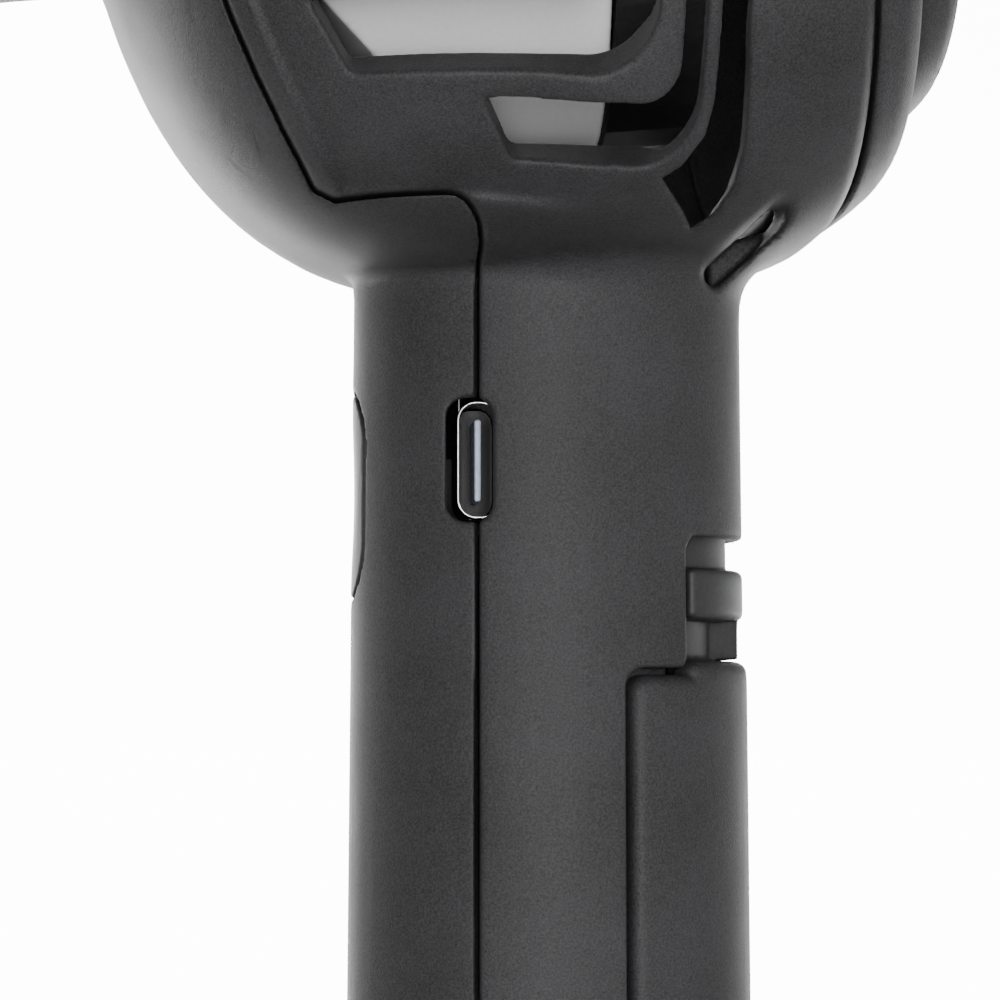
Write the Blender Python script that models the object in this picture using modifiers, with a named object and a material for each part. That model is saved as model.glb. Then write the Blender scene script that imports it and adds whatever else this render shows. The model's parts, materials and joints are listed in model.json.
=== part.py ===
"""Handheld battery leaf blower: an upright round handle under a short fan head.

The frame: origin on the floor under the handle's axis, +Z up, +X forward (the way the air
leaves), +Y to the blower's left. Sizes below are in millimetres; MM turns them into metres.
The head is drawn in its own frame, whose X axis is the fan's axis.
"""

import math

import bmesh
import bpy
from mathutils import Matrix, Vector

MM = 0.001
GAP = 0.3

# The head: the fan's axis passes HEAD_HEIGHT above the floor and points down by HEAD_TILT.
HEAD_HEIGHT = 158.0
HEAD_TILT = math.radians(5)
HEAD_HALF_WIDTH = 44.0
HEAD_HALF_HEIGHT = 47.5
HEAD_SQUARENESS = 2.95
DOME_START = 3.0
DOME_LENGTH = 36.0
DOME_SQUARENESS = 2.6
TAPER_START = -8.0
REAR_RIM = -18.0
REAR_TAPER = 0.07
HEAD_WALL = 2.2
FRONT_WALL_X = 34.4
NECK_X = 37.4
NECK_END = 47.0
NECK_RADIUS = 20.2
NOZZLE_RADIUS = 18.4
NOZZLE_BORE = 18.8
HEAD_SIDES = 40
HEAD_CENTRE = (0.0, 0.0, HEAD_HEIGHT)

# The handle: a round grip that spreads into an oval foot.
HANDLE_TOP = 124.0
HANDLE_RADIUS_TOP = 15.3
HANDLE_TAPER = 0.008
JUNCTION_HEIGHT = 112.0
HANDLE_BORE = 13.4
HANDLE_SIDES = 48
SHELL_FLOOR = 3.4
FLARE_TOP = 17.0
FOOT_RADIUS_X = 29.0
FOOT_RADIUS_Y = 23.0
FOOT_SHIFT = 11.0

# The parting line of the two shells, seen from the side.
SEAM_X = 6.2
SEAM_TOP = 110.9
SEAM_LEVEL = 114.9
SEAM_ARC_X = 32.0
SEAM_ARC_Z = 57.0
SEAM_GAP = 0.25

# The battery cover and its latch, on the rear of the handle.
COVER_BOTTOM = 19.1
COVER_TOP = 79.9
COVER_STEP_TOP = 81.0
COVER_HALF_ANGLE = 70.0
COVER_GAP_ANGLE = 1.5
COVER_INNER = 13.7
COVER_PROUD = 0.3
SLOT_HALF_ANGLE = 49.5
SLOT_TOP = 90.5
HINGE_X = -14.7
HINGE_Z = 20.2
HINGE_RADIUS = 0.6
TAB_BOTTOM = 84.2
TAB_TOP = 88.1
LATCH_PLATE = (11.9, 12.9)

# Battery, board, charging port and button inside the handle.
CELL_RADIUS = 10.6
CELL_BOTTOM = 9.5
CELL_TOP = 78.8
BOARD_X = 3.8
BOARD_THICKNESS = 1.0
PORT_HEIGHT = 96.2
PORT_X = 6.2
PORT_SIZE = (3.26, 8.94, 7.35)
PORT_FACE_Y = 12.5
PORT_OPENING_X = 6.9
PORT_OPENING = (3.5, 9.5)
PORT_CLEARANCE = (0.5, 0.4)
PORT_SHEET = 0.3
BUTTON_HEIGHT = 94.0
BUTTON_WIDTH = 9.4
BUTTON_LENGTH = 16.0

# The fan inside the head, along the head's X axis.
DUCT_RADIUS = 37.5
DUCT_WALL = 1.5
DUCT_REAR = -0.5
DUCT_FRONT = 22.0
DUCT_NECK_END = 33.2
DUCT_CORNER = 48.3
FAN_RADIUS = 34.0
BLADES = 9
STRUTS = 7
MOTOR_RADIUS = 12.0
MOUNT_WALL = 2.2
GUARD_RADIUS = 37.2
SHAFT_RADIUS = 1.5
NOZZLE_START = 36.6
NOZZLE_TIP = 112.0
NOZZLE_TIP_RADIUS = 16.2

# The side grilles: nested C-shaped slots in each flank, from the outermost inwards, level with
# the floor and not with the fan's axis.
# (front end x, rear edge x, outer half-height, slot height, slot width up the rear, corner radius)
GRILLE_SLOTS = (
    (7.2, -8.2, 41.7, 3.7, 1.5, 4.2),
    (19.6, -4.8, 36.2, 4.9, 3.4, 4.6),
    (21.4, 0.8, 29.3, 4.6, 3.4, 4.4),
    (22.8, 6.4, 22.6, 4.6, 3.4, 4.2),
)

# The rear intake cap: ring slots given as shares of the head's section.
CAP_PROFILE = (
    (-18.3, 0.930),
    (-20.7, 0.885),
    (-23.5, 0.810),
    (-25.8, 0.720),
    (-27.4, 0.620),
    (-28.8, 0.500),
    (-30.0, 0.340),
    (-30.6, 0.160),
)
CAP_RINGS = ((0.785, 0.845), (0.635, 0.695), (0.485, 0.545), (0.335, 0.395))
CAP_SIDES = 28
CAP_SPOKE_HALF_WIDTH = 2.4
CAP_WALL = 2.4

# Colours (linear RGB), roughness and metallic of each material.
MATERIALS = {
    "black_plastic": ((0.045, 0.043, 0.046), 0.50, 0.0),
    "dark_plastic": ((0.020, 0.020, 0.022), 0.45, 0.0),
    "grey_plastic": ((0.58, 0.58, 0.58), 0.40, 0.0),
    "fan_plastic": ((0.035, 0.035, 0.038), 0.35, 0.0),
    "rubber": ((0.015, 0.015, 0.016), 0.80, 0.0),
    "steel": ((0.60, 0.60, 0.60), 0.25, 1.0),
    "spring_steel": ((0.50, 0.50, 0.51), 0.30, 1.0),
    "nickel": ((0.65, 0.62, 0.56), 0.25, 1.0),
    "brass": ((0.75, 0.55, 0.25), 0.30, 1.0),
    "board_green": ((0.02, 0.12, 0.05), 0.45, 0.0),
    "tongue_grey": ((0.28, 0.33, 0.42), 0.40, 0.0),
    "cell_wrap": ((0.05, 0.16, 0.32), 0.35, 0.0),
    "lead_red": ((0.45, 0.02, 0.02), 0.45, 0.0),
    "lead_black": ((0.02, 0.02, 0.02), 0.45, 0.0),
    "screw_black": ((0.05, 0.05, 0.05), 0.35, 1.0),
}


# Scene, collections and materials


def clear_scene():
    for found in list(bpy.data.objects):
        bpy.data.objects.remove(found, do_unlink=True)


def new_collection(name):
    made = bpy.data.collections.new(name)
    bpy.context.scene.collection.children.link(made)
    return made


def new_material(name):
    colour, roughness, metallic = MATERIALS[name]
    made = bpy.data.materials.new(name)
    made.use_nodes = True
    shader = made.node_tree.nodes["Principled BSDF"]
    shader.inputs["Base Color"].default_value = (*colour, 1.0)
    shader.inputs["Roughness"].default_value = roughness
    shader.inputs["Metallic"].default_value = metallic
    made.diffuse_color = (*colour, 1.0)
    return made


clear_scene()
PARTS = new_collection("leaf_blower")
CUTTERS = new_collection("cutters")
CUTTERS.hide_render = True
PALETTE = {name: new_material(name) for name in MATERIALS}


def new_empty(name, location, tilt=0.0, parent=None):
    made = bpy.data.objects.new(name, None)
    made.location = Vector(location) * MM
    made.rotation_euler = (0.0, tilt, 0.0)
    made.parent = parent
    PARTS.objects.link(made)
    return made


HEAD = new_empty("head_frame", (0.0, 0.0, HEAD_HEIGHT), HEAD_TILT)
TO_HEAD = Matrix.Translation((0.0, 0.0, HEAD_HEIGHT)) @ Matrix.Rotation(HEAD_TILT, 4, "Y")


def add_object(name, shape, finish, parent=None, at=(0.0, 0.0, 0.0)):
    """Makes an object from a bmesh drawn in millimetres about the point at."""
    bmesh.ops.recalc_face_normals(shape, faces=shape.faces)
    bmesh.ops.transform(shape, matrix=Matrix.Scale(MM, 4), verts=shape.verts)
    mesh = bpy.data.meshes.new(name)
    shape.to_mesh(mesh)
    shape.free()
    made = bpy.data.objects.new(name, mesh)
    made.location = Vector(at) * MM
    made.parent = parent
    if finish is None:
        CUTTERS.objects.link(made)
        made.hide_render = True
        made.display_type = "WIRE"
    else:
        mesh.materials.append(PALETTE[finish])
        PARTS.objects.link(made)
    return made


CURVED_SHELLS = ("front_shell", "rear_shell", "intake_cap")


def boolean(target, other, operation):
    """Joins, cuts or intersects. Curved shells are triangulated first: exact cuts need flat faces."""
    if target.name in CURVED_SHELLS:
        target.modifiers.new(f"facets_{other.name}", "TRIANGULATE")
    step = target.modifiers.new(f"{operation.lower()}_{other.name}", "BOOLEAN")
    step.operation = operation
    step.object = other
    step.solver = "EXACT"


def cut(target, *others):
    for other in others:
        boolean(target, other, "DIFFERENCE")


def join(target, *others):
    for other in others:
        boolean(target, other, "UNION")


# Shapes, in millimetres


def loft(rings):
    """A closed skin over rings of equal length, with a flat cap on each end."""
    shape = bmesh.new()
    loops = [[shape.verts.new(point) for point in ring] for ring in rings]
    count = len(loops[0])
    for low, high in zip(loops, loops[1:]):
        for i in range(count):
            j = (i + 1) % count
            shape.faces.new((low[i], low[j], high[j], high[i]))
    shape.faces.new(loops[0])
    shape.faces.new(list(reversed(loops[-1])))
    twisted = [face for face in shape.faces if len(face.verts) == 4 and len(rings) > 2]
    bmesh.ops.triangulate(shape, faces=twisted)
    return shape


def prism(outline, axis, low, high):
    """A flat outline pulled along an axis. The outline lists the other two coordinates in order."""

    def ring(level):
        points = []
        for first, second in outline:
            point = [first, second]
            point.insert("XYZ".index(axis), level)
            points.append(point)
        return points

    return loft([ring(low), ring(high)])


def box(low, high):
    shape = bmesh.new()
    size = Vector(high) - Vector(low)
    middle = (Vector(high) + Vector(low)) / 2
    place = Matrix.Translation(middle) @ Matrix.Diagonal((*size, 1.0))
    bmesh.ops.create_cube(shape, size=1.0, matrix=place)
    return shape


AXIS_TURNS = {
    "X": Matrix.Rotation(math.radians(90), 4, "Y"),
    "Y": Matrix.Rotation(math.radians(-90), 4, "X"),
    "Z": Matrix.Identity(4),
}


def cylinder(radius, axis, low, high, centre=(0.0, 0.0), sides=32):
    """A cylinder along an axis. The centre lists the other two coordinates in order."""
    shape = bmesh.new()
    point = list(centre)
    point.insert("XYZ".index(axis), (low + high) / 2)
    place = Matrix.Translation(point) @ AXIS_TURNS[axis]
    bmesh.ops.create_cone(
        shape,
        cap_ends=True,
        segments=sides,
        radius1=radius,
        radius2=radius,
        depth=high - low,
        matrix=place,
    )
    return shape


def merge(*shapes):
    """Several separate closed shapes in one bmesh."""
    whole = bmesh.new()
    for shape in shapes:
        bmesh.ops.recalc_face_normals(shape, faces=shape.faces)
        part = bpy.data.meshes.new("merge")
        shape.to_mesh(part)
        shape.free()
        whole.from_mesh(part)
        bpy.data.meshes.remove(part)
    return whole


def ring_profile(name, finish, outline, parent, along_x=True, sides=48):
    """A turned piece: (radius, height) points and a Screw about local Z. A solid starts on the axis."""
    mesh = bpy.data.meshes.new(name)
    points = [(radius * MM, 0.0, height * MM) for radius, height in outline]
    count = len(points)
    last = count - 1 if outline[0][0] == 0.0 else count
    mesh.from_pydata(points, [(i, (i + 1) % count) for i in range(last)], [])
    mesh.materials.append(PALETTE[finish])
    made = bpy.data.objects.new(name, mesh)
    turn = made.modifiers.new("turn", "SCREW")
    turn.axis = "Z"
    turn.angle = math.tau
    turn.steps = sides
    turn.render_steps = sides
    turn.use_merge_vertices = True
    turn.merge_threshold = 0.00001
    if along_x:
        made.rotation_euler = (0.0, math.radians(90), 0.0)
    made.parent = parent
    PARTS.objects.link(made)
    return made


def wire(name, finish, points, radius, parent=None, at=(0.0, 0.0, 0.0)):
    """A round wire through points, as a bevelled polyline."""
    curve = bpy.data.curves.new(name, "CURVE")
    curve.dimensions = "3D"
    curve.bevel_depth = radius * MM
    curve.bevel_resolution = 2
    curve.use_fill_caps = True
    spline = curve.splines.new("POLY")
    spline.points.add(len(points) - 1)
    for point, place in zip(spline.points, points):
        point.co = (*(Vector(place) * MM), 1.0)
    curve.materials.append(PALETTE[finish])
    made = bpy.data.objects.new(name, curve)
    made.location = Vector(at) * MM
    made.parent = parent
    PARTS.objects.link(made)
    return made


def sector(inner, outer, half_angle, low, high, middle=180.0, steps=24):
    """A curved plate about the handle's axis: part of a tube, centred on the given heading."""
    angles = [
        math.radians(middle - half_angle + 2 * half_angle * i / steps) for i in range(steps + 1)
    ]
    outline = [(outer * math.cos(a), outer * math.sin(a)) for a in angles]
    outline += [(inner * math.cos(a), inner * math.sin(a)) for a in reversed(angles)]
    return prism(outline, "Z", low, high)


def rounded_rectangle(low, high, radius, steps=6):
    """Corner-rounded outline between two opposite corners, anticlockwise."""
    points = []
    corners = (
        (high[0] - radius, high[1] - radius, 0),
        (low[0] + radius, high[1] - radius, 90),
        (low[0] + radius, low[1] + radius, 180),
        (high[0] - radius, low[1] + radius, 270),
    )
    for x, y, start in corners:
        for i in range(steps + 1):
            angle = math.radians(start + 90 * i / steps)
            points.append((x + radius * math.cos(angle), y + radius * math.sin(angle)))
    return points


# The head's outer form


def section_scale(x):
    """The head's section at x, as a share of the full section."""
    if x > DOME_START:
        along = (x - DOME_START) / DOME_LENGTH
        return (1 - along**DOME_SQUARENESS) ** (1 / DOME_SQUARENESS)
    if x < TAPER_START:
        along = (TAPER_START - x) / (TAPER_START - REAR_RIM)
        return 1 - REAR_TAPER * along**2
    return 1.0


def head_ring(x, scale, inset=0.0, sides=HEAD_SIDES):
    """A superellipse across the head at x, shrunk by the inset."""
    width = HEAD_HALF_WIDTH * scale - inset
    height = HEAD_HALF_HEIGHT * scale - inset
    points = []
    for i in range(sides):
        angle = math.tau * i / sides
        reach = (
            abs(math.cos(angle) / width) ** HEAD_SQUARENESS
            + abs(math.sin(angle) / height) ** HEAD_SQUARENESS
        ) ** (-1 / HEAD_SQUARENESS)
        points.append((x, reach * math.cos(angle), reach * math.sin(angle)))
    return points


def circle_ring(x, radius, sides=HEAD_SIDES):
    return [
        (x, radius * math.cos(math.tau * i / sides), radius * math.sin(math.tau * i / sides))
        for i in range(sides)
    ]


def in_world(rings):
    return [[TO_HEAD @ Vector(point) for point in ring] for ring in rings]


HEAD_STATIONS = (-18, -13, -8, 3, 11, 17, 22, 26, 29.5, 32.5, 35, 36, 36.8)


def head_outer():
    rings = [head_ring(x, section_scale(x)) for x in HEAD_STATIONS]
    rings.append(circle_ring(NECK_X, NECK_RADIUS + 0.6))
    rings.append(circle_ring(NECK_X + 1.2, NECK_RADIUS))
    rings.append(circle_ring(NECK_END, NECK_RADIUS))
    return loft(in_world(rings))


def head_inner():
    rings = [head_ring(REAR_RIM - 3, section_scale(REAR_RIM) - 0.02, HEAD_WALL)]
    rings += [
        head_ring(x, section_scale(x), HEAD_WALL)
        for x in HEAD_STATIONS
        if REAR_RIM < x < FRONT_WALL_X - 1
    ]
    rings.append(head_ring(FRONT_WALL_X - 0.6, section_scale(FRONT_WALL_X), HEAD_WALL))
    rings.append(circle_ring(FRONT_WALL_X, NOZZLE_BORE))
    rings.append(circle_ring(NECK_END + 2, NOZZLE_BORE))
    return loft(in_world(rings))


# The handle's outer form

HANDLE_STATIONS = (SHELL_FLOOR, 5.0, 7.0, 9.5, 12.5, FLARE_TOP, 60.0, JUNCTION_HEIGHT, HANDLE_TOP)


def handle_radius(z):
    return HANDLE_RADIUS_TOP + (JUNCTION_HEIGHT - z) * HANDLE_TAPER


def handle_ring(z, sides=HANDLE_SIDES):
    """The handle's section at z: a circle that spreads to an oval near the floor."""
    radius = handle_radius(min(z, JUNCTION_HEIGHT))
    spread = max(0.0, (FLARE_TOP - z) / (FLARE_TOP - SHELL_FLOOR)) ** 2
    long = radius + (FOOT_RADIUS_X - radius) * spread
    wide = radius + (FOOT_RADIUS_Y - radius) * spread
    shift = FOOT_SHIFT * spread
    return [
        (
            shift + long * math.cos(math.tau * i / sides),
            wide * math.sin(math.tau * i / sides),
            z,
        )
        for i in range(sides)
    ]


def seam_path(offset):
    """The parting line from the handle's foot over the head's top, moved forward by the offset."""
    points = [(SEAM_X + offset, -5.0), (SEAM_X + offset, SEAM_TOP)]
    reach_x, reach_z = 3.2, SEAM_LEVEL - SEAM_TOP
    for i in range(1, 6):
        angle = math.radians(90 * i / 6)
        points.append(
            (
                SEAM_X + reach_x - (reach_x - offset) * math.cos(angle),
                SEAM_TOP + (reach_z - offset) * math.sin(angle),
            )
        )
    points.append((SEAM_X + reach_x, SEAM_LEVEL - offset))
    points.append((17.4, SEAM_LEVEL - offset))
    for i in range(15):
        z = -40.6 + i * 92.0 / 14
        x = SEAM_ARC_X * math.sqrt(1 - (z / SEAM_ARC_Z) ** 2) + offset
        place = TO_HEAD @ Vector((x, 0.0, z))
        points.append((place.x, place.z))
    return points


def rear_region(name, offset):
    """Everything behind the parting line, as a cutter."""
    outline = seam_path(offset) + [(-90.0, 225.0), (-90.0, -5.0)]
    return add_object(name, prism(outline, "Y", -70.0, 70.0), None)


def shell_blank(name, finish="black_plastic"):
    """The whole hollow body, before it is parted into front and rear."""
    made = add_object(name, head_outer(), finish)
    grip = add_object(f"{name}_grip", loft([handle_ring(z) for z in HANDLE_STATIONS]), None)
    join(made, grip)
    hollow = add_object(f"{name}_hollow", head_inner(), None)
    bore = add_object(
        f"{name}_bore", cylinder(HANDLE_BORE, "Z", SHELL_FLOOR - 2, HANDLE_TOP + 2, sides=44), None
    )
    cut(made, hollow, bore)
    return made


# Screws through the front shell into bosses of the rear shell, outside the fan's duct.
HEAD_SCREWS = [(y, 34.2) for y in (-20.0, 20.0)]
HEAD_SCREW_SEAT = 28.9
HEAD_SCREW_END = 17.0
HANDLE_SCREWS = (30.0,)
HANDLE_SCREW_SEAT = 14.0
HANDLE_SCREW_END = 12.6
SCREW_HEAD_RADIUS = 2.1
SCREW_HEAD_HEIGHT = 1.3
SCREW_SHANK_RADIUS = 1.1


def port_cutters(tag):
    """The charging port's opening, and room for the socket behind it."""
    half_width, half_height = PORT_OPENING[0] / 2, PORT_OPENING[1] / 2
    opening = rounded_rectangle(
        (PORT_OPENING_X - half_width, PORT_HEIGHT - half_height),
        (PORT_OPENING_X + half_width, PORT_HEIGHT + half_height),
        1.5,
    )
    pocket_half_x = PORT_SIZE[0] / 2 + PORT_CLEARANCE[0]
    pocket_half_z = PORT_SIZE[1] / 2 + PORT_CLEARANCE[1]
    pocket_low = (PORT_X - pocket_half_x, 8.0, PORT_HEIGHT - pocket_half_z)
    pocket_high = (PORT_X + pocket_half_x, PORT_FACE_Y + GAP, PORT_HEIGHT + pocket_half_z)
    return [
        add_object(f"port_opening_{tag}", prism(opening, "Y", 9.0, 20.0), None),
        add_object(f"port_pocket_{tag}", box(pocket_low, pocket_high), None),
    ]


def slot_outline(front, rear, half_height, height, width, radius):
    """A C-shaped slot seen from the side, open towards the front, in head X and Z."""
    outer = rounded_rectangle((rear, -half_height), (front + radius, half_height), radius)
    inner_radius = max(radius - width, 0.8)
    inner_low = (rear + width, height - half_height)
    inner_high = (front + inner_radius, half_height - height)
    inner = rounded_rectangle(inner_low, inner_high, inner_radius)
    steps = len(outer) // 4
    keep_outer = outer[steps : 3 * steps]
    keep_inner = inner[steps : 3 * steps]
    slant = 0.35 * height
    top = [(front, half_height - height), (front - slant, half_height)]
    bottom = [(front - slant, -half_height), (front, height - half_height)]
    return top + keep_outer + bottom + list(reversed(keep_inner))


def grille_cutters(tag):
    made = []
    for index, slot in enumerate(GRILLE_SLOTS):
        outline = slot_outline(*slot)
        for side, (low, high) in {"left": (12.0, 60.0), "right": (-60.0, -12.0)}.items():
            name = f"grille_{tag}_{index}_{side}"
            made.append(add_object(name, prism(outline, "Y", low, high), None, at=HEAD_CENTRE))
    return made


def make_front_shell():
    made = shell_blank("front_shell")
    cut(made, rear_region("front_parting", SEAM_GAP))
    cut(made, *port_cutters("front"))
    button = rounded_rectangle(
        (-BUTTON_WIDTH / 2 - GAP, BUTTON_HEIGHT - BUTTON_LENGTH / 2 - GAP),
        (BUTTON_WIDTH / 2 + GAP, BUTTON_HEIGHT + BUTTON_LENGTH / 2 + GAP),
        BUTTON_WIDTH / 2 + GAP - 0.01,
    )
    cut(made, add_object("button_opening", prism(button, "X", 9.0, 20.0), None))
    for index, (y, z) in enumerate(HEAD_SCREWS):
        seat = cylinder(SCREW_HEAD_RADIUS + GAP, "X", HEAD_SCREW_SEAT, 40.0, (y, z), 20)
        hole = cylinder(SCREW_SHANK_RADIUS + GAP, "X", 10.0, HEAD_SCREW_SEAT + 1.0, (y, z), 16)
        cut(made, add_object(f"head_screw_seat_{index}", seat, None, HEAD))
        cut(made, add_object(f"head_screw_hole_{index}", hole, None, HEAD))
    for index, z in enumerate(HANDLE_SCREWS):
        seat = cylinder(SCREW_HEAD_RADIUS + GAP, "X", HANDLE_SCREW_SEAT, 50.0, (0.0, z), 20)
        hole = cylinder(SCREW_SHANK_RADIUS + GAP, "X", 9.0, HANDLE_SCREW_SEAT + 1.0, (0.0, z), 16)
        cut(made, add_object(f"handle_screw_seat_{index}", seat, None))
        cut(made, add_object(f"handle_screw_hole_{index}", hole, None))
    return made


def make_rear_shell():
    made = shell_blank("rear_shell")
    boolean(made, rear_region("rear_parting", 0.0), "INTERSECT")
    cut(made, *port_cutters("rear"), *grille_cutters("rear"))
    opening = sector(
        HANDLE_BORE - 1.5,
        25.0,
        COVER_HALF_ANGLE + COVER_GAP_ANGLE,
        COVER_BOTTOM - 0.75,
        COVER_TOP + 0.5,
        steps=20,
    )
    slot = sector(HANDLE_BORE - 2.3, 27.0, SLOT_HALF_ANGLE + 0.9, 70.0, SLOT_TOP, steps=13)
    cut(made, add_object("cover_opening", opening, None), add_object("latch_slot", slot, None))
    lanyard = box((-3.9, 9.3, -1.1), (3.9, 41.7, 1.1))
    lanyard_cutter = add_object("lanyard_slot", lanyard, None, HEAD, (-9.1, 0.0, -45.3))
    lanyard_cutter.rotation_euler = (0.0, math.radians(38), 0.0)
    cut(made, lanyard_cutter)
    for index, (y, z) in enumerate(HEAD_SCREWS):
        side = math.copysign(1.0, z)
        low, high = sorted((side * 32.3, side * 41.1))
        boss = box((16.5, y - 2.6, low), (20.2, y + 2.6, high))
        join(made, add_object(f"screw_boss_{index}", boss, None, HEAD))
        hole = cylinder(SCREW_SHANK_RADIUS + GAP, "X", 10.0, 24.0, (y, z), 16)
        cut(made, add_object(f"screw_boss_hole_{index}", hole, None, HEAD))
    spring_shelf = add_object("spring_shelf", box((-13.9, -3.0, 101.0), (-8.6, 3.0, 102.6)), None)
    join(made, spring_shelf)
    for side in (-1, 1):
        low, high = sorted((side * 4.6, side * 6.6))
        ear = box((-15.5, low, COVER_BOTTOM - 3.0), (-12.4, high, HINGE_Z + 1.4))
        join(made, add_object(f"hinge_ear_{side}", ear, None))
    pin_hole = cylinder(HINGE_RADIUS + GAP, "Y", -6.2, 6.2, (HINGE_X, HINGE_Z), 16)
    cut(made, add_object("hinge_pin_hole", pin_hole, None))
    return made


make_front_shell()
make_rear_shell()


# The intake cap: a ribbed dome with ring slots, and a skirt that plugs into the rear rim


def arc_prism(inner, outer, start, end, low, high, steps=5):
    """Part of a ring slot, between two shares of the head's section and two angles."""

    def reach(angle, share):
        width, height = HEAD_HALF_WIDTH * share, HEAD_HALF_HEIGHT * share
        span = (
            abs(math.cos(angle) / width) ** HEAD_SQUARENESS
            + abs(math.sin(angle) / height) ** HEAD_SQUARENESS
        ) ** (-1 / HEAD_SQUARENESS)
        return (span * math.cos(angle), span * math.sin(angle))

    angles = [start + (end - start) * i / steps for i in range(steps + 1)]
    outline = [reach(a, outer) for a in angles] + [reach(a, inner) for a in reversed(angles)]
    return prism(outline, "X", low, high)


def make_intake_cap():
    outer = [head_ring(x, share, sides=CAP_SIDES) for x, share in CAP_PROFILE]
    made = add_object("intake_cap", loft(list(reversed(outer))), "black_plastic", HEAD)
    skirt_share = section_scale(REAR_RIM)
    skirt = [head_ring(x, skirt_share, HEAD_WALL + 0.5, CAP_SIDES) for x in (-22.0, -12.5)]
    join(made, add_object("cap_skirt", loft(skirt), None, HEAD))
    hollow = [head_ring(-8.0, skirt_share, HEAD_WALL + 2.1, CAP_SIDES)]
    hollow.append(head_ring(-19.5, skirt_share, HEAD_WALL + 2.1, CAP_SIDES))
    hollow += [head_ring(x + CAP_WALL, share, 1.0, CAP_SIDES) for x, share in CAP_PROFILE[2:]]
    cut(made, add_object("cap_hollow", loft(hollow), None, HEAD))
    slots = []
    for inner, outer_share in CAP_RINGS:
        middle_radius = HEAD_HALF_HEIGHT * (inner + outer_share) / 2
        margin = CAP_SPOKE_HALF_WIDTH / middle_radius
        for quarter in range(4):
            start = quarter * math.pi / 2 + margin
            end = (quarter + 1) * math.pi / 2 - margin
            slots.append(arc_prism(inner, outer_share, start, end, -40.0, -13.0))
    cut(made, add_object("cap_slots", merge(*slots), None, HEAD))
    return made


make_intake_cap()


# The fan: duct, motor mount, motor, shaft, impeller and guard


def corner_wedges(name, inset):
    """The duct's front corners, above and below, cut off at 45 degrees."""
    level = DUCT_CORNER - inset * math.sqrt(2)
    made = []
    for side in (-1, 1):
        outline = [(level - 45.0, side * 45.0), (60.0, side * 45.0), (60.0, side * (level - 60.0))]
        made.append(add_object(f"{name}_{side}", prism(outline, "Y", -50.0, 50.0), None, HEAD))
    return made


def make_fan_duct():
    drum = cylinder(DUCT_RADIUS, "X", DUCT_REAR, DUCT_FRONT, sides=60)
    made = add_object("fan_duct", drum, "grey_plastic", HEAD)
    cut(made, *corner_wedges("duct_corner", 0.0))
    hollow = add_object(
        "duct_hollow",
        cylinder(DUCT_RADIUS - DUCT_WALL, "X", DUCT_REAR - 2, DUCT_FRONT - DUCT_WALL, sides=60),
        None,
        HEAD,
    )
    cut(hollow, *corner_wedges("duct_hollow_corner", DUCT_WALL))
    cut(made, hollow)
    neck = cylinder(NOZZLE_RADIUS + 1.4, "X", DUCT_FRONT - 1.0, DUCT_NECK_END, sides=48)
    join(made, add_object("duct_neck", neck, None, HEAD))
    bore = cylinder(NOZZLE_RADIUS - 0.4, "X", DUCT_FRONT - 5.0, DUCT_NECK_END + 3, sides=48)
    cut(made, add_object("duct_bore", bore, None, HEAD))
    return made


def make_motor_mount():
    """The cup that holds the motor, on radial struts that reach the duct's wall."""
    cup_radius = MOTOR_RADIUS + MOUNT_WALL
    cup = cylinder(cup_radius, "X", 8.9, 20.2, sides=40)
    made = add_object("motor_mount", cup, "dark_plastic", HEAD)
    for index in range(STRUTS):
        shape = box((9.1, -1.0, cup_radius - 1.0), (10.2, 1.0, 35.6))
        strut = add_object(f"mount_strut_{index}", shape, None, HEAD)
        strut.rotation_euler = (math.tau * (index + 0.5) / STRUTS, 0.0, 0.0)
        join(made, strut)
    bore = cylinder(MOTOR_RADIUS + GAP, "X", 10.8, 30.0, sides=40)
    cut(made, add_object("mount_bore", bore, None, HEAD))
    cut(made, add_object("mount_eye", cylinder(4.0, "X", 5.0, 30.0, sides=24), None, HEAD))
    return made


def make_motor():
    can = [
        (MOTOR_RADIUS - 1.0, 29.0),
        (MOTOR_RADIUS, 28.0),
        (MOTOR_RADIUS, 12.1),
        (MOTOR_RADIUS - 1.0, 11.1),
        (SHAFT_RADIUS + GAP, 11.1),
        (SHAFT_RADIUS + GAP, 29.0),
    ]
    ring_profile("motor_can", "steel", can, HEAD, sides=40)
    add_object("motor_shaft", cylinder(SHAFT_RADIUS, "X", -4.2, 27.0, sides=16), "steel", HEAD)


# The fan wheel: (x, radius) along the hub, and (radius, twist in degrees, half chord) up a blade.
HUB_PROFILE = ((-0.4, 6.5), (1.5, 9.0), (4.5, 12.5), (8.2, 15.0))
BLADE_SECTIONS = ((7.5, 40, 4.2), (14.0, 48, 4.0), (24.0, 58, 3.8), (FAN_RADIUS, 66, 3.4))
BLADE_HALF_THICKNESS = 0.5
BLADE_X = 4.9


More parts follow.
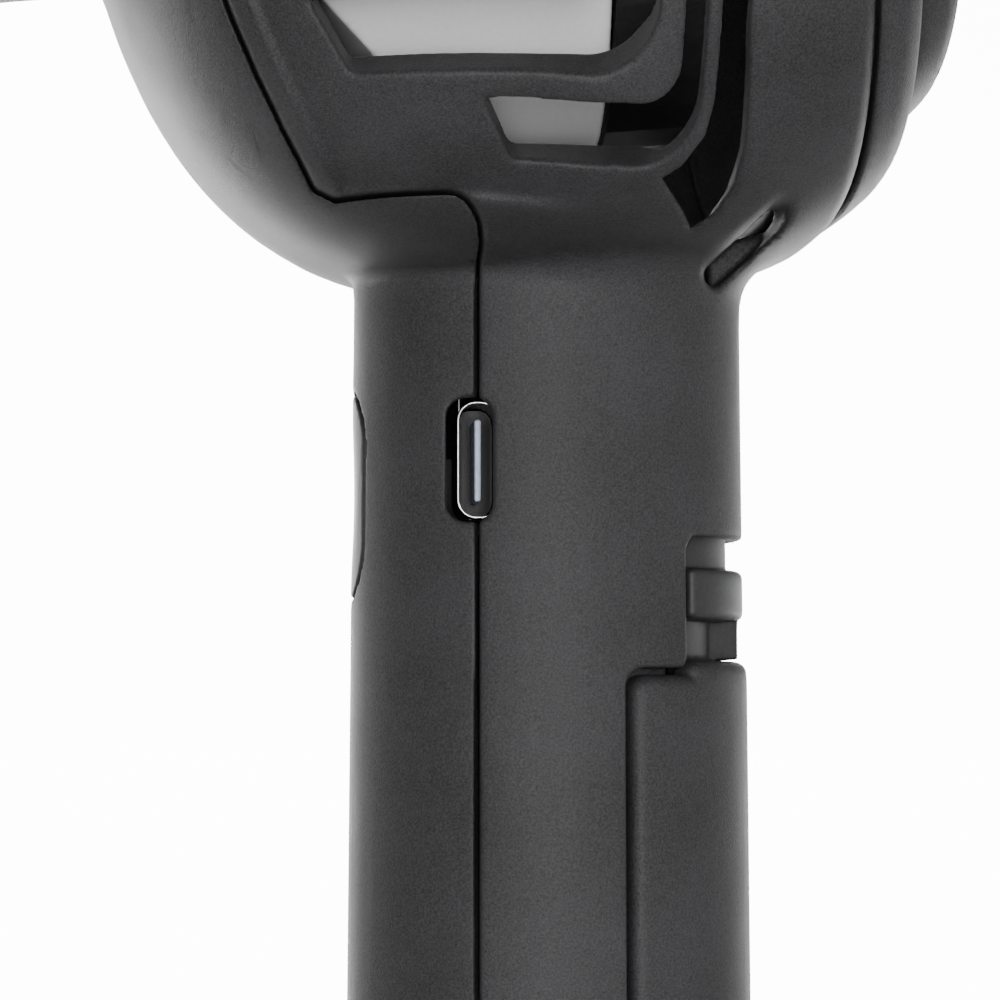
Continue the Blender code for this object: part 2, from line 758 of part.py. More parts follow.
def make_impeller():
    """A mixed-flow fan wheel: a cone-shaped hub and swept blades."""
    hub = loft([circle_ring(x, radius, 40) for x, radius in HUB_PROFILE])
    made = add_object("impeller", hub, "fan_plastic", HEAD)
    for index in range(BLADES):
        blade = []
        for radius, twist, chord in BLADE_SECTIONS:
            angle = math.radians(twist)
            along = Vector((math.cos(angle), math.sin(angle))) * chord
            across = Vector((-math.sin(angle), math.cos(angle))) * BLADE_HALF_THICKNESS
            middle = Vector((BLADE_X, 0.0))
            corners = (
                middle - along - across,
                middle + along - across,
                middle + along + across,
                middle - along + across,
            )
            blade.append([(c[0], c[1], radius) for c in corners])
        piece = add_object(f"impeller_blade_{index}", loft(blade), None, HEAD)
        piece.rotation_euler = (math.tau * index / BLADES, 0.0, 0.0)
        join(made, piece)
    bore = cylinder(SHAFT_RADIUS + GAP, "X", -5.0, 12.0, sides=20)
    cut(made, add_object("impeller_bore", bore, None, HEAD))
    nut = [
        (3.2, -0.8),
        (3.2, -2.6),
        (2.4, -3.4),
        (SHAFT_RADIUS + GAP, -3.4),
        (SHAFT_RADIUS + GAP, -0.8),
    ]
    ring_profile("impeller_nut", "brass", nut, HEAD, sides=6)
    return made


def make_intake_guard():
    """The black bell-mouth ring behind the duct, with three spokes and a centre eye."""
    rim = [
        (GUARD_RADIUS, -0.8),
        (GUARD_RADIUS, -8.4),
        (GUARD_RADIUS - 3.6, -8.4),
        (GUARD_RADIUS - 3.6, -6.5),
        (GUARD_RADIUS - 1.3, -6.5),
        (GUARD_RADIUS - 1.3, -0.8),
    ]
    made = ring_profile("intake_guard", "dark_plastic", rim, HEAD, sides=56)
    for index in range(3):
        shape = box((-8.1, -0.9, 5.5), (-6.7, 0.9, 35.0))
        spoke = add_object(f"guard_spoke_{index}", shape, None, HEAD)
        spoke.rotation_euler = (math.tau * index / 3 + 0.35, 0.0, 0.0)
        join(made, spoke)
    hub = add_object("guard_hub", cylinder(7.0, "X", -8.3, -6.5, sides=32), None, HEAD)
    join(made, hub)
    return made


make_fan_duct()
make_motor_mount()
make_motor()
make_impeller()
make_intake_guard()


# The nozzle, its seal and its soft bumper


def make_nozzle():
    wall = 1.6
    tip, root = NOZZLE_TIP_RADIUS, NOZZLE_RADIUS
    tube = [
        (tip, NOZZLE_TIP),
        (tip + 0.2, 105.0),
        (root, 62.0),
        (root, 52.0),
        (NECK_RADIUS, 51.4),
        (NECK_RADIUS, 49.3),
        (root, 48.9),
        (root, NOZZLE_START),
        (root - wall, NOZZLE_START),
        (root - wall, 62.0),
        (tip - wall, 105.0),
        (tip - wall, NOZZLE_TIP),
    ]
    ring_profile("nozzle", "black_plastic", tube, HEAD, sides=40)
    seal = [
        (NECK_RADIUS - 0.2, 48.7),
        (NECK_RADIUS - 0.2, NECK_END + GAP),
        (NOZZLE_RADIUS + GAP, NECK_END + GAP),
        (NOZZLE_RADIUS + GAP, 48.7),
    ]
    ring_profile("nozzle_seal", "rubber", seal, HEAD, sides=40)
    bumper = [
        (tip + 1.5, NOZZLE_TIP - 0.8),
        (tip + 1.7, 106.6),
        (tip + 0.5, 106.0),
        (tip + 0.5, NOZZLE_TIP),
        (tip + 0.9, NOZZLE_TIP),
    ]
    ring_profile("nozzle_bumper", "rubber", bumper, HEAD, sides=40)


make_nozzle()


# Fasteners: two high in the head's front, one low in the handle's front


def screw(name, seat, end, centre, parent):
    head = cylinder(SCREW_HEAD_RADIUS, "X", seat + GAP, seat + GAP + SCREW_HEAD_HEIGHT, centre, 22)
    made = add_object(name, head, "screw_black", parent)
    shank = cylinder(SCREW_SHANK_RADIUS, "X", end, seat + GAP + 0.5, centre, 14)
    join(made, add_object(f"{name}_shank", shank, None, parent))
    recess = cylinder(0.9, "X", seat + GAP + 0.65, seat + 6.0, centre, 6)
    cut(made, add_object(f"{name}_recess", recess, None, parent))


for number, place in enumerate(HEAD_SCREWS, 1):
    screw(f"head_screw_{number}", HEAD_SCREW_SEAT, HEAD_SCREW_END, place, HEAD)
for number, height in enumerate(HANDLE_SCREWS, 1):
    screw(f"handle_screw_{number}", HANDLE_SCREW_SEAT, HANDLE_SCREW_END, (0.0, height), None)


# The battery cover, its hinge pin, and the latch


def make_battery_cover():
    """The cover turns about its hinge pin, so its origin is there."""
    at = (HINGE_X, 0.0, HINGE_Z)
    back = Matrix.Translation(-Vector(at))

    def shifted(shape):
        bmesh.ops.transform(shape, matrix=back, verts=shape.verts)
        return shape

    outer_low = handle_radius(COVER_BOTTOM) + COVER_PROUD
    plate = sector(COVER_INNER, outer_low, COVER_HALF_ANGLE, COVER_BOTTOM, COVER_TOP, steps=27)
    made = add_object("battery_cover", shifted(plate), "black_plastic", at=at)
    tongue_inner = COVER_INNER + 0.02
    tongue_outer = outer_low - 0.02
    tongue = sector(tongue_inner, tongue_outer, SLOT_HALF_ANGLE, 75.0, COVER_STEP_TOP, steps=14)
    join(made, add_object("cover_tongue", shifted(tongue), None, at=at))
    for side in (-1, 1):
        low, high = sorted((side * 4.3, side * 6.9))
        notch = box((-18.0, low, 10.0), (-10.0, high, HINGE_Z + 2.0))
        cut(made, add_object(f"cover_notch_{side}", shifted(notch), None, at=at))
    hole = cylinder(HINGE_RADIUS + GAP, "Y", -6.0, 6.0, (HINGE_X, HINGE_Z), 12)
    cut(made, add_object("cover_pin_hole", shifted(hole), None, at=at))
    edge = prism(((-3.43, 1.31), (-3.43, -3.4), (1.25, -3.4)), "Y", -12.1, 12.1)
    cut(made, add_object("cover_chamfer", edge, None, at=at))
    return made


def make_latch():
    """A curved slide behind the shell, with the tab that shows in the slot."""
    plate = sector(*LATCH_PLATE, 44.0, 82.6, 92.4, steps=20)
    made = add_object("latch_slide", plate, "dark_plastic")
    tab_outer = handle_radius(TAB_TOP) + 0.05
    tab = sector(12.4, tab_outer, SLOT_HALF_ANGLE - 0.8, TAB_BOTTOM, TAB_TOP, steps=24)
    join(made, add_object("latch_tab", tab, None))
    hook = sector(*LATCH_PLATE, 12.0, 78.6, 83.0, steps=8)
    join(made, add_object("latch_hook", hook, None))
    return made


def helix(radius, pitch, turns, points_per_turn=10):
    return [
        (
            radius * math.cos(math.tau * i / points_per_turn),
            radius * math.sin(math.tau * i / points_per_turn),
            pitch * i / points_per_turn,
        )
        for i in range(int(turns * points_per_turn) + 1)
    ]


make_battery_cover()
add_object("hinge_pin", cylinder(HINGE_RADIUS, "Y", -5.9, 5.9, (HINGE_X, HINGE_Z), 16), "steel")
make_latch()
wire("latch_spring", "spring_steel", helix(1.3, 1.5, 5, 8), 0.25, at=(-11.6, 0.0, 92.95))


# The battery cell, its contacts and the cradle


def make_battery():
    wrap = [
        (0.0, CELL_TOP),
        (CELL_RADIUS - 0.5, CELL_TOP),
        (CELL_RADIUS, CELL_TOP - 0.5),
        (CELL_RADIUS, CELL_BOTTOM + 0.5),
        (CELL_RADIUS - 0.5, CELL_BOTTOM),
        (0.0, CELL_BOTTOM),
    ]
    ring_profile("battery_cell", "cell_wrap", wrap, None, along_x=False, sides=40)
    add_object("cell_terminal", cylinder(4.6, "Z", CELL_TOP + GAP, 80.0, sides=24), "nickel")
    add_object("contact_plate_top", cylinder(7.5, "Z", 80.3, 80.9, sides=24), "nickel")
    add_object("contact_plate_base", box((-6.0, -7.0, 4.9), (6.0, 7.0, 5.5)), "nickel")
    cradle = sector(11.2, 12.3, 84.0, 6.2, 79.6, middle=0.0, steps=20)
    add_object("battery_cradle", cradle, "dark_plastic")
    spiral = [
        (
            (5.4 - 0.9 * i / 8) * math.cos(math.tau * i / 8),
            (5.4 - 0.9 * i / 8) * math.sin(math.tau * i / 8),
            6.2 + 2.4 * i / 24,
        )
        for i in range(25)
    ]
    wire("contact_spring", "spring_steel", spiral, 0.35)


make_battery()


# The circuit board, charging port, switch, button and leads


def port_outline(inset, radius):
    """The charging port's rounded section, in X and Z, shrunk by the inset."""
    half_width = PORT_SIZE[0] / 2 - inset
    half_height = PORT_SIZE[1] / 2 - inset
    low = (PORT_X - half_width, PORT_HEIGHT - half_height)
    high = (PORT_X + half_width, PORT_HEIGHT + half_height)
    return rounded_rectangle(low, high, radius)


def make_electronics():
    half = BOARD_THICKNESS / 2
    board_outline = rounded_rectangle((-10.5, 83.4), (9.6, 109.6), 1.0, 3)
    board = prism(board_outline, "X", BOARD_X - half, BOARD_X + half)
    add_object("control_board", board, "board_green")
    rear = PORT_FACE_Y - PORT_SIZE[2]
    socket = add_object("port_socket", prism(port_outline(0.0, 1.45), "Y", rear, PORT_FACE_Y), "steel")
    bore = prism(port_outline(PORT_SHEET, 1.2), "Y", rear + 1.2, PORT_FACE_Y + 1)
    cut(socket, add_object("port_socket_bore", bore, None))
    tongue_low = (PORT_X - 0.35, rear + 1.5, PORT_HEIGHT - 3.3)
    tongue_high = (PORT_X + 0.35, PORT_FACE_Y - 0.9, PORT_HEIGHT + 3.3)
    add_object("port_tongue", box(tongue_low, tongue_high), "tongue_grey")
    add_object("power_switch", box((4.6, -6.0, 91.0), (8.2, 0.0, 97.0)), "dark_plastic")
    add_object("motor_driver", box((0.8, -6.5, 99.0), (3.0, 3.5, 106.0)), "dark_plastic")


def make_button():
    """A flush pill-shaped button with an inner flange."""
    outline = rounded_rectangle(
        (-BUTTON_WIDTH / 2, BUTTON_HEIGHT - BUTTON_LENGTH / 2),
        (BUTTON_WIDTH / 2, BUTTON_HEIGHT + BUTTON_LENGTH / 2),
        BUTTON_WIDTH / 2 - 0.01,
    )
    made = add_object("power_button", prism(outline, "X", 10.4, 19.0), "dark_plastic")
    skin = cylinder(handle_radius(BUTTON_HEIGHT) + 0.1, "Z", 70.0, 120.0, sides=HANDLE_SIDES)
    boolean(made, add_object("button_skin", skin, None), "INTERSECT")
    flange = rounded_rectangle(
        (-BUTTON_WIDTH / 2 - 0.7, BUTTON_HEIGHT - BUTTON_LENGTH / 2 - 0.9),
        (BUTTON_WIDTH / 2 + 0.7, BUTTON_HEIGHT + BUTTON_LENGTH / 2 + 0.9),
        BUTTON_WIDTH / 2 + 0.6,
    )
    join(made, add_object("button_flange", prism(flange, "X", 9.8, 11.0), None))
    return made


def make_leads():
    """The two motor leads that rise from the board towards the head."""
    for name, finish, y in (("lead_positive", "lead_red", -2.2), ("lead_negative", "lead_black", 2.2)):
        points = [(3.6 + 0.3 * math.sin(math.pi * i / 6), y, 110.4 + 1.4 * i) for i in range(6)]
        wire(name, finish, points, 0.8)


make_electronics()
make_button()
make_leads()


# The floor of the handle: a base plate and the rubber foot

BASE_LEVELS = (1.7, SHELL_FLOOR - GAP)
PAD_RINGS = ((0.0, 2.4), (0.4, 2.0), (1.4, 2.0))


def foot_ring(z, inset):
    """The foot's oval at z, drawn in by the inset."""
    return [
        (
            FOOT_SHIFT + (FOOT_RADIUS_X - inset) * math.cos(math.tau * i / 48),
            (FOOT_RADIUS_Y - inset) * math.sin(math.tau * i / 48),
            z,
        )
        for i in range(48)
    ]


add_object("base_plate", loft([foot_ring(z, 0.2) for z in BASE_LEVELS]), "black_plastic")
add_object("foot_pad", loft([foot_ring(z, inset) for z, inset in PAD_RINGS]), "rubber")
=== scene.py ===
"""Looks of a handheld leaf blower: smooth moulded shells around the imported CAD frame.

The shells are drawn as distance fields in millimetres and turned into meshes, which gives
the rounded edges and soft blends of mouldings. A field is negative inside its solid. The
head's fields use the fan's own frame: x along the fan's axis, z up, tilted by HEAD_TILT.
"""

import json
import math

import bmesh
import bpy
import numpy as np
import openvdb
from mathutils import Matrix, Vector


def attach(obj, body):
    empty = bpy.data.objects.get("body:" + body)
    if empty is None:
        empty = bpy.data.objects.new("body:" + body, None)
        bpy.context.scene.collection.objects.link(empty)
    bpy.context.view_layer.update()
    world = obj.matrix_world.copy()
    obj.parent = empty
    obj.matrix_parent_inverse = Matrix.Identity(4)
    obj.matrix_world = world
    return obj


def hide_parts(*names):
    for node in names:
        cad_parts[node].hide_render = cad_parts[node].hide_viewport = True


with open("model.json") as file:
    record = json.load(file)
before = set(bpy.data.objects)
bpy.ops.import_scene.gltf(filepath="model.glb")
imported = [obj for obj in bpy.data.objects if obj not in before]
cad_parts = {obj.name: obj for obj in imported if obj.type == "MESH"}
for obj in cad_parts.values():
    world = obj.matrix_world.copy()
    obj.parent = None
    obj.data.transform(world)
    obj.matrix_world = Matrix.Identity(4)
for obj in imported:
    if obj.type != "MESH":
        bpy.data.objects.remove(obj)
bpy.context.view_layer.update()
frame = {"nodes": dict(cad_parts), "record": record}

MM = 0.001
DETAIL = 1.0
EDGE = 0.35

# The head, in its own frame.
HEAD_HEIGHT = 158.0
HEAD_TILT = math.radians(5)
HEAD_HALF_WIDTH = 44.0
HEAD_HALF_HEIGHT = 47.4
HEAD_SQUARENESS = 2.95
DOME_START = 3.0
DOME_LENGTH = 36.0
DOME_SQUARENESS = 2.6
TAPER_START = -8.0
REAR_RIM = -18.0
REAR_TAPER = 0.05
HEAD_WALL = 2.2
FRONT_WALL_X = 34.4
NECK_START = 30.0
NECK_END = 47.0
NECK_RADIUS = 19.5
NECK_BORE = 18.5
NOZZLE_RADIUS = 18.1
NOZZLE_TIP_RADIUS = 16.2
NOZZLE_TIP = 112.0

# The handle.
HANDLE_TOP = 124.0
HANDLE_RADIUS_TOP = 15.3
HANDLE_TAPER = 0.008
JUNCTION_HEIGHT = 112.0
HANDLE_BORE = 13.4
SHELL_FLOOR = 3.4
FLARE_TOP = 17.0
FOOT_RADIUS_X = 29.0
FOOT_RADIUS_Y = 23.0
FOOT_SHIFT = 11.0
FRONT_BLEND = 1.2
REAR_BLEND = 3.5

# The parting line of the two shells, seen from the side.
SEAM_X = 6.2
SEAM_TOP = 110.9
SEAM_LEVEL = 114.9
SEAM_CORNER = 3.2
SEAM_LEVEL_END = 17.4
SEAM_ARC_X = 32.0
SEAM_ARC_Z = 57.0
SEAM_GAP = 0.25

# The battery cover, its opening and the latch, about the handle's axis.
COVER_BOTTOM = 19.1
COVER_TOP = 79.9
COVER_STEP_TOP = 81.0
COVER_HALF_ANGLE = math.radians(70.0)
COVER_GAP_ANGLE = math.radians(1.5)
COVER_INNER = 13.7
COVER_PROUD = 0.3
SLOT_HALF_ANGLE = math.radians(50.4)
SLOT_TOP = 90.5
TAB_BOTTOM = 84.2
TAB_TOP = 88.1
TAB_HALF_ANGLE = math.radians(48.7)
PLATE_RADII = (11.9, 15.1)
PLATE_DIP = 1.2
PLATE_RIB = 2.2
PLATE_HEIGHTS = (79.6, 92.4)
PLATE_TOP_RADIUS = 14.2
PLATE_FOOT_RADIUS = 13.3
PLATE_HALF_ANGLE = math.radians(44.0)

# The latch's pocket in the rear shell, and the dark ledge behind the cover's upper corners.
POCKET_HEIGHT = 87.2
POCKET_HALF_HEIGHT = 8.2
POCKET_HALF_ANGLE = 0.82
LEDGE_AROUND = 17.6
LEDGE_HEIGHT = 81.0
LEDGE_REACH = 12.95
LEDGE_HALF_THICKNESS = 0.55

# The cover's hinge.
HINGE_X = -14.7
HINGE_Z = 20.2

# Openings in the handle's front and side.
PORT_HEIGHT = 96.2
PORT_OPENING_X = 6.9
PORT_OPENING = (3.5, 9.5, 1.5)
PORT_X = 6.2
PORT_SIZE = (3.26, 8.94, 7.35)
PORT_FACE_Y = 12.5
PORT_SHEET = 0.18
BUTTON_HEIGHT = 94.0
BUTTON_WIDTH = 9.4
BUTTON_LENGTH = 16.0
BUTTON_GAP = 0.3
DISH_X = 32.0
DISH_RADIUS = 16.7
DISH_STRETCH = 0.7
HEAD_SCREW_Y = 20.0
HEAD_SCREW_Z = 34.2
HEAD_SCREW_SEAT = 28.9
HANDLE_SCREW_HEIGHT = 30.0
HANDLE_SCREW_SEAT = 14.0
SCREW_SEAT_RADIUS = 2.4
SCREW_HOLE_RADIUS = 1.4

# The fan's duct, in the head's frame.
DUCT_RADIUS = 37.5
DUCT_WALL = 1.5
DUCT_REAR = -0.5
DUCT_FRONT = 22.0
DUCT_CORNER = 48.3

# Side grilles, from the outermost slot inwards, about the head's centre but level:
# front end x, rear edge x, outer half-height, slot height, rear width, corner radius.
GRILLE_SLOTS = (
    (7.2, -8.2, 41.7, 3.7, 1.5, 4.2),
    (19.6, -4.8, 36.2, 4.9, 3.4, 4.6),
    (21.4, 0.8, 29.3, 4.6, 3.4, 4.4),
    (22.8, 6.4, 22.6, 4.6, 3.4, 4.2),
)
BAR_DEPTH = 4.2
LOUVRE_LEAN = 0.55
LOUVRE_END_SLANT = 0.62
PANEL_SINK = 0.6
GROOVE_DEPTH = 3.2
GROOVE_NEAREST = 6.0

# The lanyard slot, a blind recess in the head's frame.
LANYARD_CENTRE = (-9.9, -46.6)
LANYARD_HALF_LENGTH = 2.4
LANYARD_ANGLE = math.radians(-38)
LANYARD_RADIUS = 0.8
LANYARD_DEPTH = 1.9

# The rear intake cap: surface position against share of the head's section.
CAP_PROFILE = (
    (-18.3, 0.930),
    (-20.7, 0.885),
    (-23.5, 0.810),
    (-25.8, 0.720),
    (-27.4, 0.620),
    (-28.8, 0.500),
    (-30.0, 0.340),
    (-30.6, 0.160),
)
CAP_RINGS = ((0.785, 0.845), (0.635, 0.695), (0.485, 0.545), (0.335, 0.395))
CAP_RING_PITCH = 0.15
CAP_RIB_SWELL = 0.9
CAP_SPOKE_HALF_WIDTH = 2.4
CAP_WALL = 3.6
SECTION_MEAN = 46.0


# Distance fields: blends and flat outlines


def soft_min(first, second, width):
    """The nearer of two solids, with a blend of about this width where they meet."""
    overlap = np.maximum(width - np.abs(first - second), 0.0) / width
    return np.minimum(first, second) - overlap * overlap * width / 4


def soft_max(first, second, width):
    """What two solids share, with its edge rounded."""
    return -soft_min(-first, -second, width)


def cut(solid, tool, width=EDGE):
    """The solid without the tool."""
    return soft_max(solid, -tool, width)


def smooth_step(low, high, value):
    share = np.clip((value - low) / (high - low), 0.0, 1.0)
    return share * share * (3.0 - 2.0 * share)


def outline_distance(points, u, v):
    """Distance to a closed flat outline, negative inside."""
    nearest = np.full(np.broadcast(u, v).shape, np.inf)
    inside = np.zeros(nearest.shape, bool)
    for (start_u, start_v), (end_u, end_v) in zip(points, points[1:] + points[:1]):
        along_u, along_v = end_u - start_u, end_v - start_v
        from_u, from_v = u - start_u, v - start_v
        share = (from_u * along_u + from_v * along_v) / (along_u**2 + along_v**2)
        share = np.clip(share, 0.0, 1.0)
        apart = (from_u - share * along_u) ** 2 + (from_v - share * along_v) ** 2
        nearest = np.minimum(nearest, apart)
        if along_v != 0.0:
            crossed = (start_v > v) != (end_v > v)
            inside ^= crossed & (u < start_u + from_v * along_u / along_v)
    return np.where(inside, -1.0, 1.0) * np.sqrt(nearest)


def rounded_box(u, v, half_u, half_v, radius):
    """Distance to a rectangle with round corners, centred on the origin."""
    beyond_u = np.abs(u) - half_u + radius
    beyond_v = np.abs(v) - half_v + radius
    outside = np.hypot(np.maximum(beyond_u, 0.0), np.maximum(beyond_v, 0.0))
    return outside + np.minimum(np.maximum(beyond_u, beyond_v), 0.0) - radius


def capsule(u, v, centre, half_length, angle, radius):
    """Distance to a straight slot with round ends, at an angle above the u axis."""
    along = (u - centre[0]) * math.cos(angle) + (v - centre[1]) * math.sin(angle)
    across = (v - centre[1]) * math.cos(angle) - (u - centre[0]) * math.sin(angle)
    beyond = along - np.clip(along, -half_length, half_length)
    return np.hypot(beyond, across) - radius


# The head and the handle


def to_head(x, z):
    """World X and Z in the head's frame."""
    up = z - HEAD_HEIGHT
    cosine, sine = math.cos(HEAD_TILT), math.sin(HEAD_TILT)
    return x * cosine - up * sine, x * sine + up * cosine


def from_head(x, z):
    """A point of the head's frame in world X and Z."""
    cosine, sine = math.cos(HEAD_TILT), math.sin(HEAD_TILT)
    return x * cosine + z * sine, HEAD_HEIGHT - x * sine + z * cosine


def section_scale(x):
    """The head's section at x as a share of the full section, and how fast it changes."""
    along = np.clip((x - DOME_START) / DOME_LENGTH, 0.0, 0.9999)
    power = DOME_SQUARENESS
    scale = (1 - along**power) ** (1 / power)
    slope = along ** (power - 1) * (1 - along**power) ** (1 / power - 1) / DOME_LENGTH
    behind = np.clip((TAPER_START - x) / (TAPER_START - REAR_RIM), 0.0, 1.5)
    return scale - REAR_TAPER * behind**2, slope


def section_share(y, z):
    """Where a point lies in the head's full section: 0 on the axis, 1 on the outline."""
    power = HEAD_SQUARENESS
    across = np.abs(y) / HEAD_HALF_WIDTH
    up = np.abs(z) / HEAD_HALF_HEIGHT
    total = across**power + up**power + 1e-6
    share = total ** (1 / power)
    pull = share / total
    grow_y = across ** (power - 1) / HEAD_HALF_WIDTH * pull
    grow_z = up ** (power - 1) / HEAD_HALF_HEIGHT * pull
    return share, grow_y**2 + grow_z**2


def head_distance(x, y, z):
    """Distance to the head's outer form, close to true near its surface."""
    share, steepness = section_share(y, z)
    scale, slope = section_scale(x)
    return (share - scale) / np.sqrt(steepness + slope**2 + 1e-7)


def handle_distance(x, y, z):
    """Distance to the handle: a round grip that spreads into an oval foot."""
    radius = HANDLE_RADIUS_TOP + np.maximum(JUNCTION_HEIGHT - z, 0.0) * HANDLE_TAPER
    spread = np.clip((FLARE_TOP - z) / (FLARE_TOP - SHELL_FLOOR), 0.0, 1.2) ** 2
    long = radius + (FOOT_RADIUS_X - radius) * spread
    wide = radius + (FOOT_RADIUS_Y - radius) * spread
    side = (np.hypot((x - FOOT_SHIFT * spread) / long, y / wide) - 1.0) * wide
    ends = np.maximum(SHELL_FLOOR - z, z - HANDLE_TOP - 10.0)
    return soft_max(side, ends, 0.8)


def seam_outline():
    """The outline, in world X and Z, of everything behind the parting line."""
    points = [(SEAM_X, -5.0), (SEAM_X, SEAM_TOP)]
    rise = SEAM_LEVEL - SEAM_TOP
    for degrees in range(15, 91, 15):
        angle = math.radians(degrees)
        turn_x = SEAM_X + SEAM_CORNER * (1 - math.cos(angle))
        points.append((turn_x, SEAM_TOP + rise * math.sin(angle)))
    points.append((SEAM_LEVEL_END, SEAM_LEVEL))
    for step in range(25):
        z = -40.6 + step * 92.0 / 24
        points.append(from_head(SEAM_ARC_X * math.sqrt(1 - (z / SEAM_ARC_Z) ** 2), z))
    return points + [(-90.0, 225.0), (-90.0, -5.0)]


def panel_outline():
    """The sunk flat panel around the grilles, in the head's frame."""
    points = []
    for step in range(25):
        z = -41.0 + step * 82.0 / 24
        points.append((SEAM_ARC_X * math.sqrt(1 - (z / SEAM_ARC_Z) ** 2) - 1.9, z))
    return points + [(-2.0, 44.5), (-2.0, -44.5)]


def round_handle(x, y):
    """Heading from the handle's rear, in radians, and distance from its axis."""
    return np.arctan2(y, -x), np.hypot(x, y)


def cover_outline(x, y, z, grow_angle, grow):
    """The battery cover's outline wrapped round the handle, grown by a gap."""
    heading, reach = round_handle(x, y)
    around = heading * HANDLE_RADIUS_TOP
    middle = (COVER_TOP + COVER_BOTTOM) / 2
    half_height = (COVER_TOP - COVER_BOTTOM) / 2 + grow
    half_width = (COVER_HALF_ANGLE + grow_angle) * HANDLE_RADIUS_TOP
    plate = rounded_box(around, z - middle, half_width, half_height, 1.5)
    return plate, around, reach


# Turning fields into meshes


def sample_lines(low, high, step):
    """Evenly spaced grid lines with a margin at both ends."""
    step = step * DETAIL
    count = int((high - low) / step) + 5
    middle = (low + high) / 2
    return middle + (np.arange(count) - (count - 1) / 2) * step


SLAB = 24


def solid(name, span_x, span_y, span_z, step, distance, adaptivity=0.02):
    """A mesh object where the field is zero, with normals from the field's slope."""
    lines = [sample_lines(*span, step) for span in (span_x, span_y, span_z)]
    spacing = step * DETAIL
    shape = tuple(len(line) for line in lines)
    values = np.empty(shape, np.float32)
    x = lines[0][:, None, None].astype(np.float32)
    y = lines[1][None, :, None].astype(np.float32)
    for low in range(0, shape[2], SLAB):
        z = lines[2][None, None, low : low + SLAB].astype(np.float32)
        values[:, :, low : low + SLAB] = distance(x, y, z)
    np.clip(values, -3.0, 3.0, out=values)
    values[0], values[-1] = 3.0, 3.0
    values[:, 0], values[:, -1] = 3.0, 3.0
    values[:, :, 0], values[:, :, -1] = 3.0, 3.0
    grid = openvdb.FloatGrid(3.0)
    grid.copyFromArray(values / spacing)
    points, triangles, quads = grid.convertToPolygons(0.0, adaptivity)
    normals = field_slopes(values, points)
    origin = np.array([line[0] for line in lines])
    return made_mesh(name, (origin + points * spacing) * MM, triangles, quads, normals)


def field_slopes(values, points):
    """Unit slopes of the sampled field at points given in grid steps."""
    reach = 0.6
    slopes = np.empty(points.shape)
    for axis in range(3):
        shift = np.zeros(3)
        shift[axis] = reach
        slopes[:, axis] = sampled(values, points + shift) - sampled(values, points - shift)
    return slopes / np.maximum(np.linalg.norm(slopes, axis=1, keepdims=True), 1e-9)


def sampled(values, points):
    """The field between grid points, by blending the eight around each."""
    top = np.array(values.shape) - 2
    base = np.clip(np.floor(points).astype(np.int64), 0, top)
    part = points - base
    total = np.zeros(len(points))
    for corner in np.ndindex(2, 2, 2):
        weight = np.prod(np.where(np.array(corner) == 1, part, 1 - part), axis=1)
        at = base + np.array(corner)
        total += weight * values[at[:, 0], at[:, 1], at[:, 2]]
    return total


def made_mesh(name, points, triangles, quads, normals):
    """A smooth-shaded mesh from arrays, with the given vertex normals."""
    corners = triangles.tolist() + quads.tolist()
    mesh = bpy.data.meshes.new(name)
    mesh.from_pydata(points, [], corners)
    mesh.shade_smooth()
    mesh.normals_split_custom_set_from_vertices(normals)
    made = bpy.data.objects.new(name, mesh)
    bpy.context.scene.collection.objects.link(made)
    return made


# The shells


SEAM_OUTLINE = seam_outline()
PANEL_OUTLINE = panel_outline()


def slot_distance(x, z, front, rear, half_height, height, width, radius):
    """A C-shaped slot seen from the side: open towards the front, with slanted ends."""
    far = front + 20.0
    outer_half = (far - rear) / 2
    outer = rounded_box(x - rear - outer_half, z, outer_half, half_height, radius)
    inner_half = (far - rear - width) / 2
    inner_radius = max(radius - width, 1.6)
    inner = rounded_box(
        x - rear - width - inner_half, z, inner_half, half_height - height, inner_radius
    )
    lean = (np.abs(z) - half_height + height) * LOUVRE_END_SLANT
    end = (x - front + lean) / math.hypot(1.0, LOUVRE_END_SLANT)
    return soft_max(soft_max(outer, -inner, 0.3), end, 0.5)


def outer_form(x, y, z, head_x, depth):
    """The head and handle as one outer form, with the soft blend under the head's rear."""
    head = soft_max(depth, REAR_RIM - head_x, 1.6)
    blend = REAR_BLEND + (FRONT_BLEND - REAR_BLEND) * smooth_step(-4.0, SEAM_X + 1.0, x)
    return soft_min(head, handle_distance(x, y, z), blend)


def hollow_form(x, y, z, head_x, depth, wall):
    """The space inside the shells: the head's inside and the handle's bore."""
    inside = np.maximum(depth + wall, head_x - FRONT_WALL_X)
    bore = np.hypot(x, y) - HANDLE_BORE
    bore = np.maximum(bore, np.maximum(SHELL_FLOOR + 2.0 - z, z - HANDLE_TOP))
    return np.minimum(inside, bore)


def port_opening(x, y, z):
    """The opening for the charging port, from the handle's skin inwards."""
    half_x, half_z = PORT_OPENING[0] / 2, PORT_OPENING[1] / 2
    flat = rounded_box(x - PORT_OPENING_X, z - PORT_HEIGHT, half_x, half_z, PORT_OPENING[2])
    return np.maximum(flat, 5.0 - y)


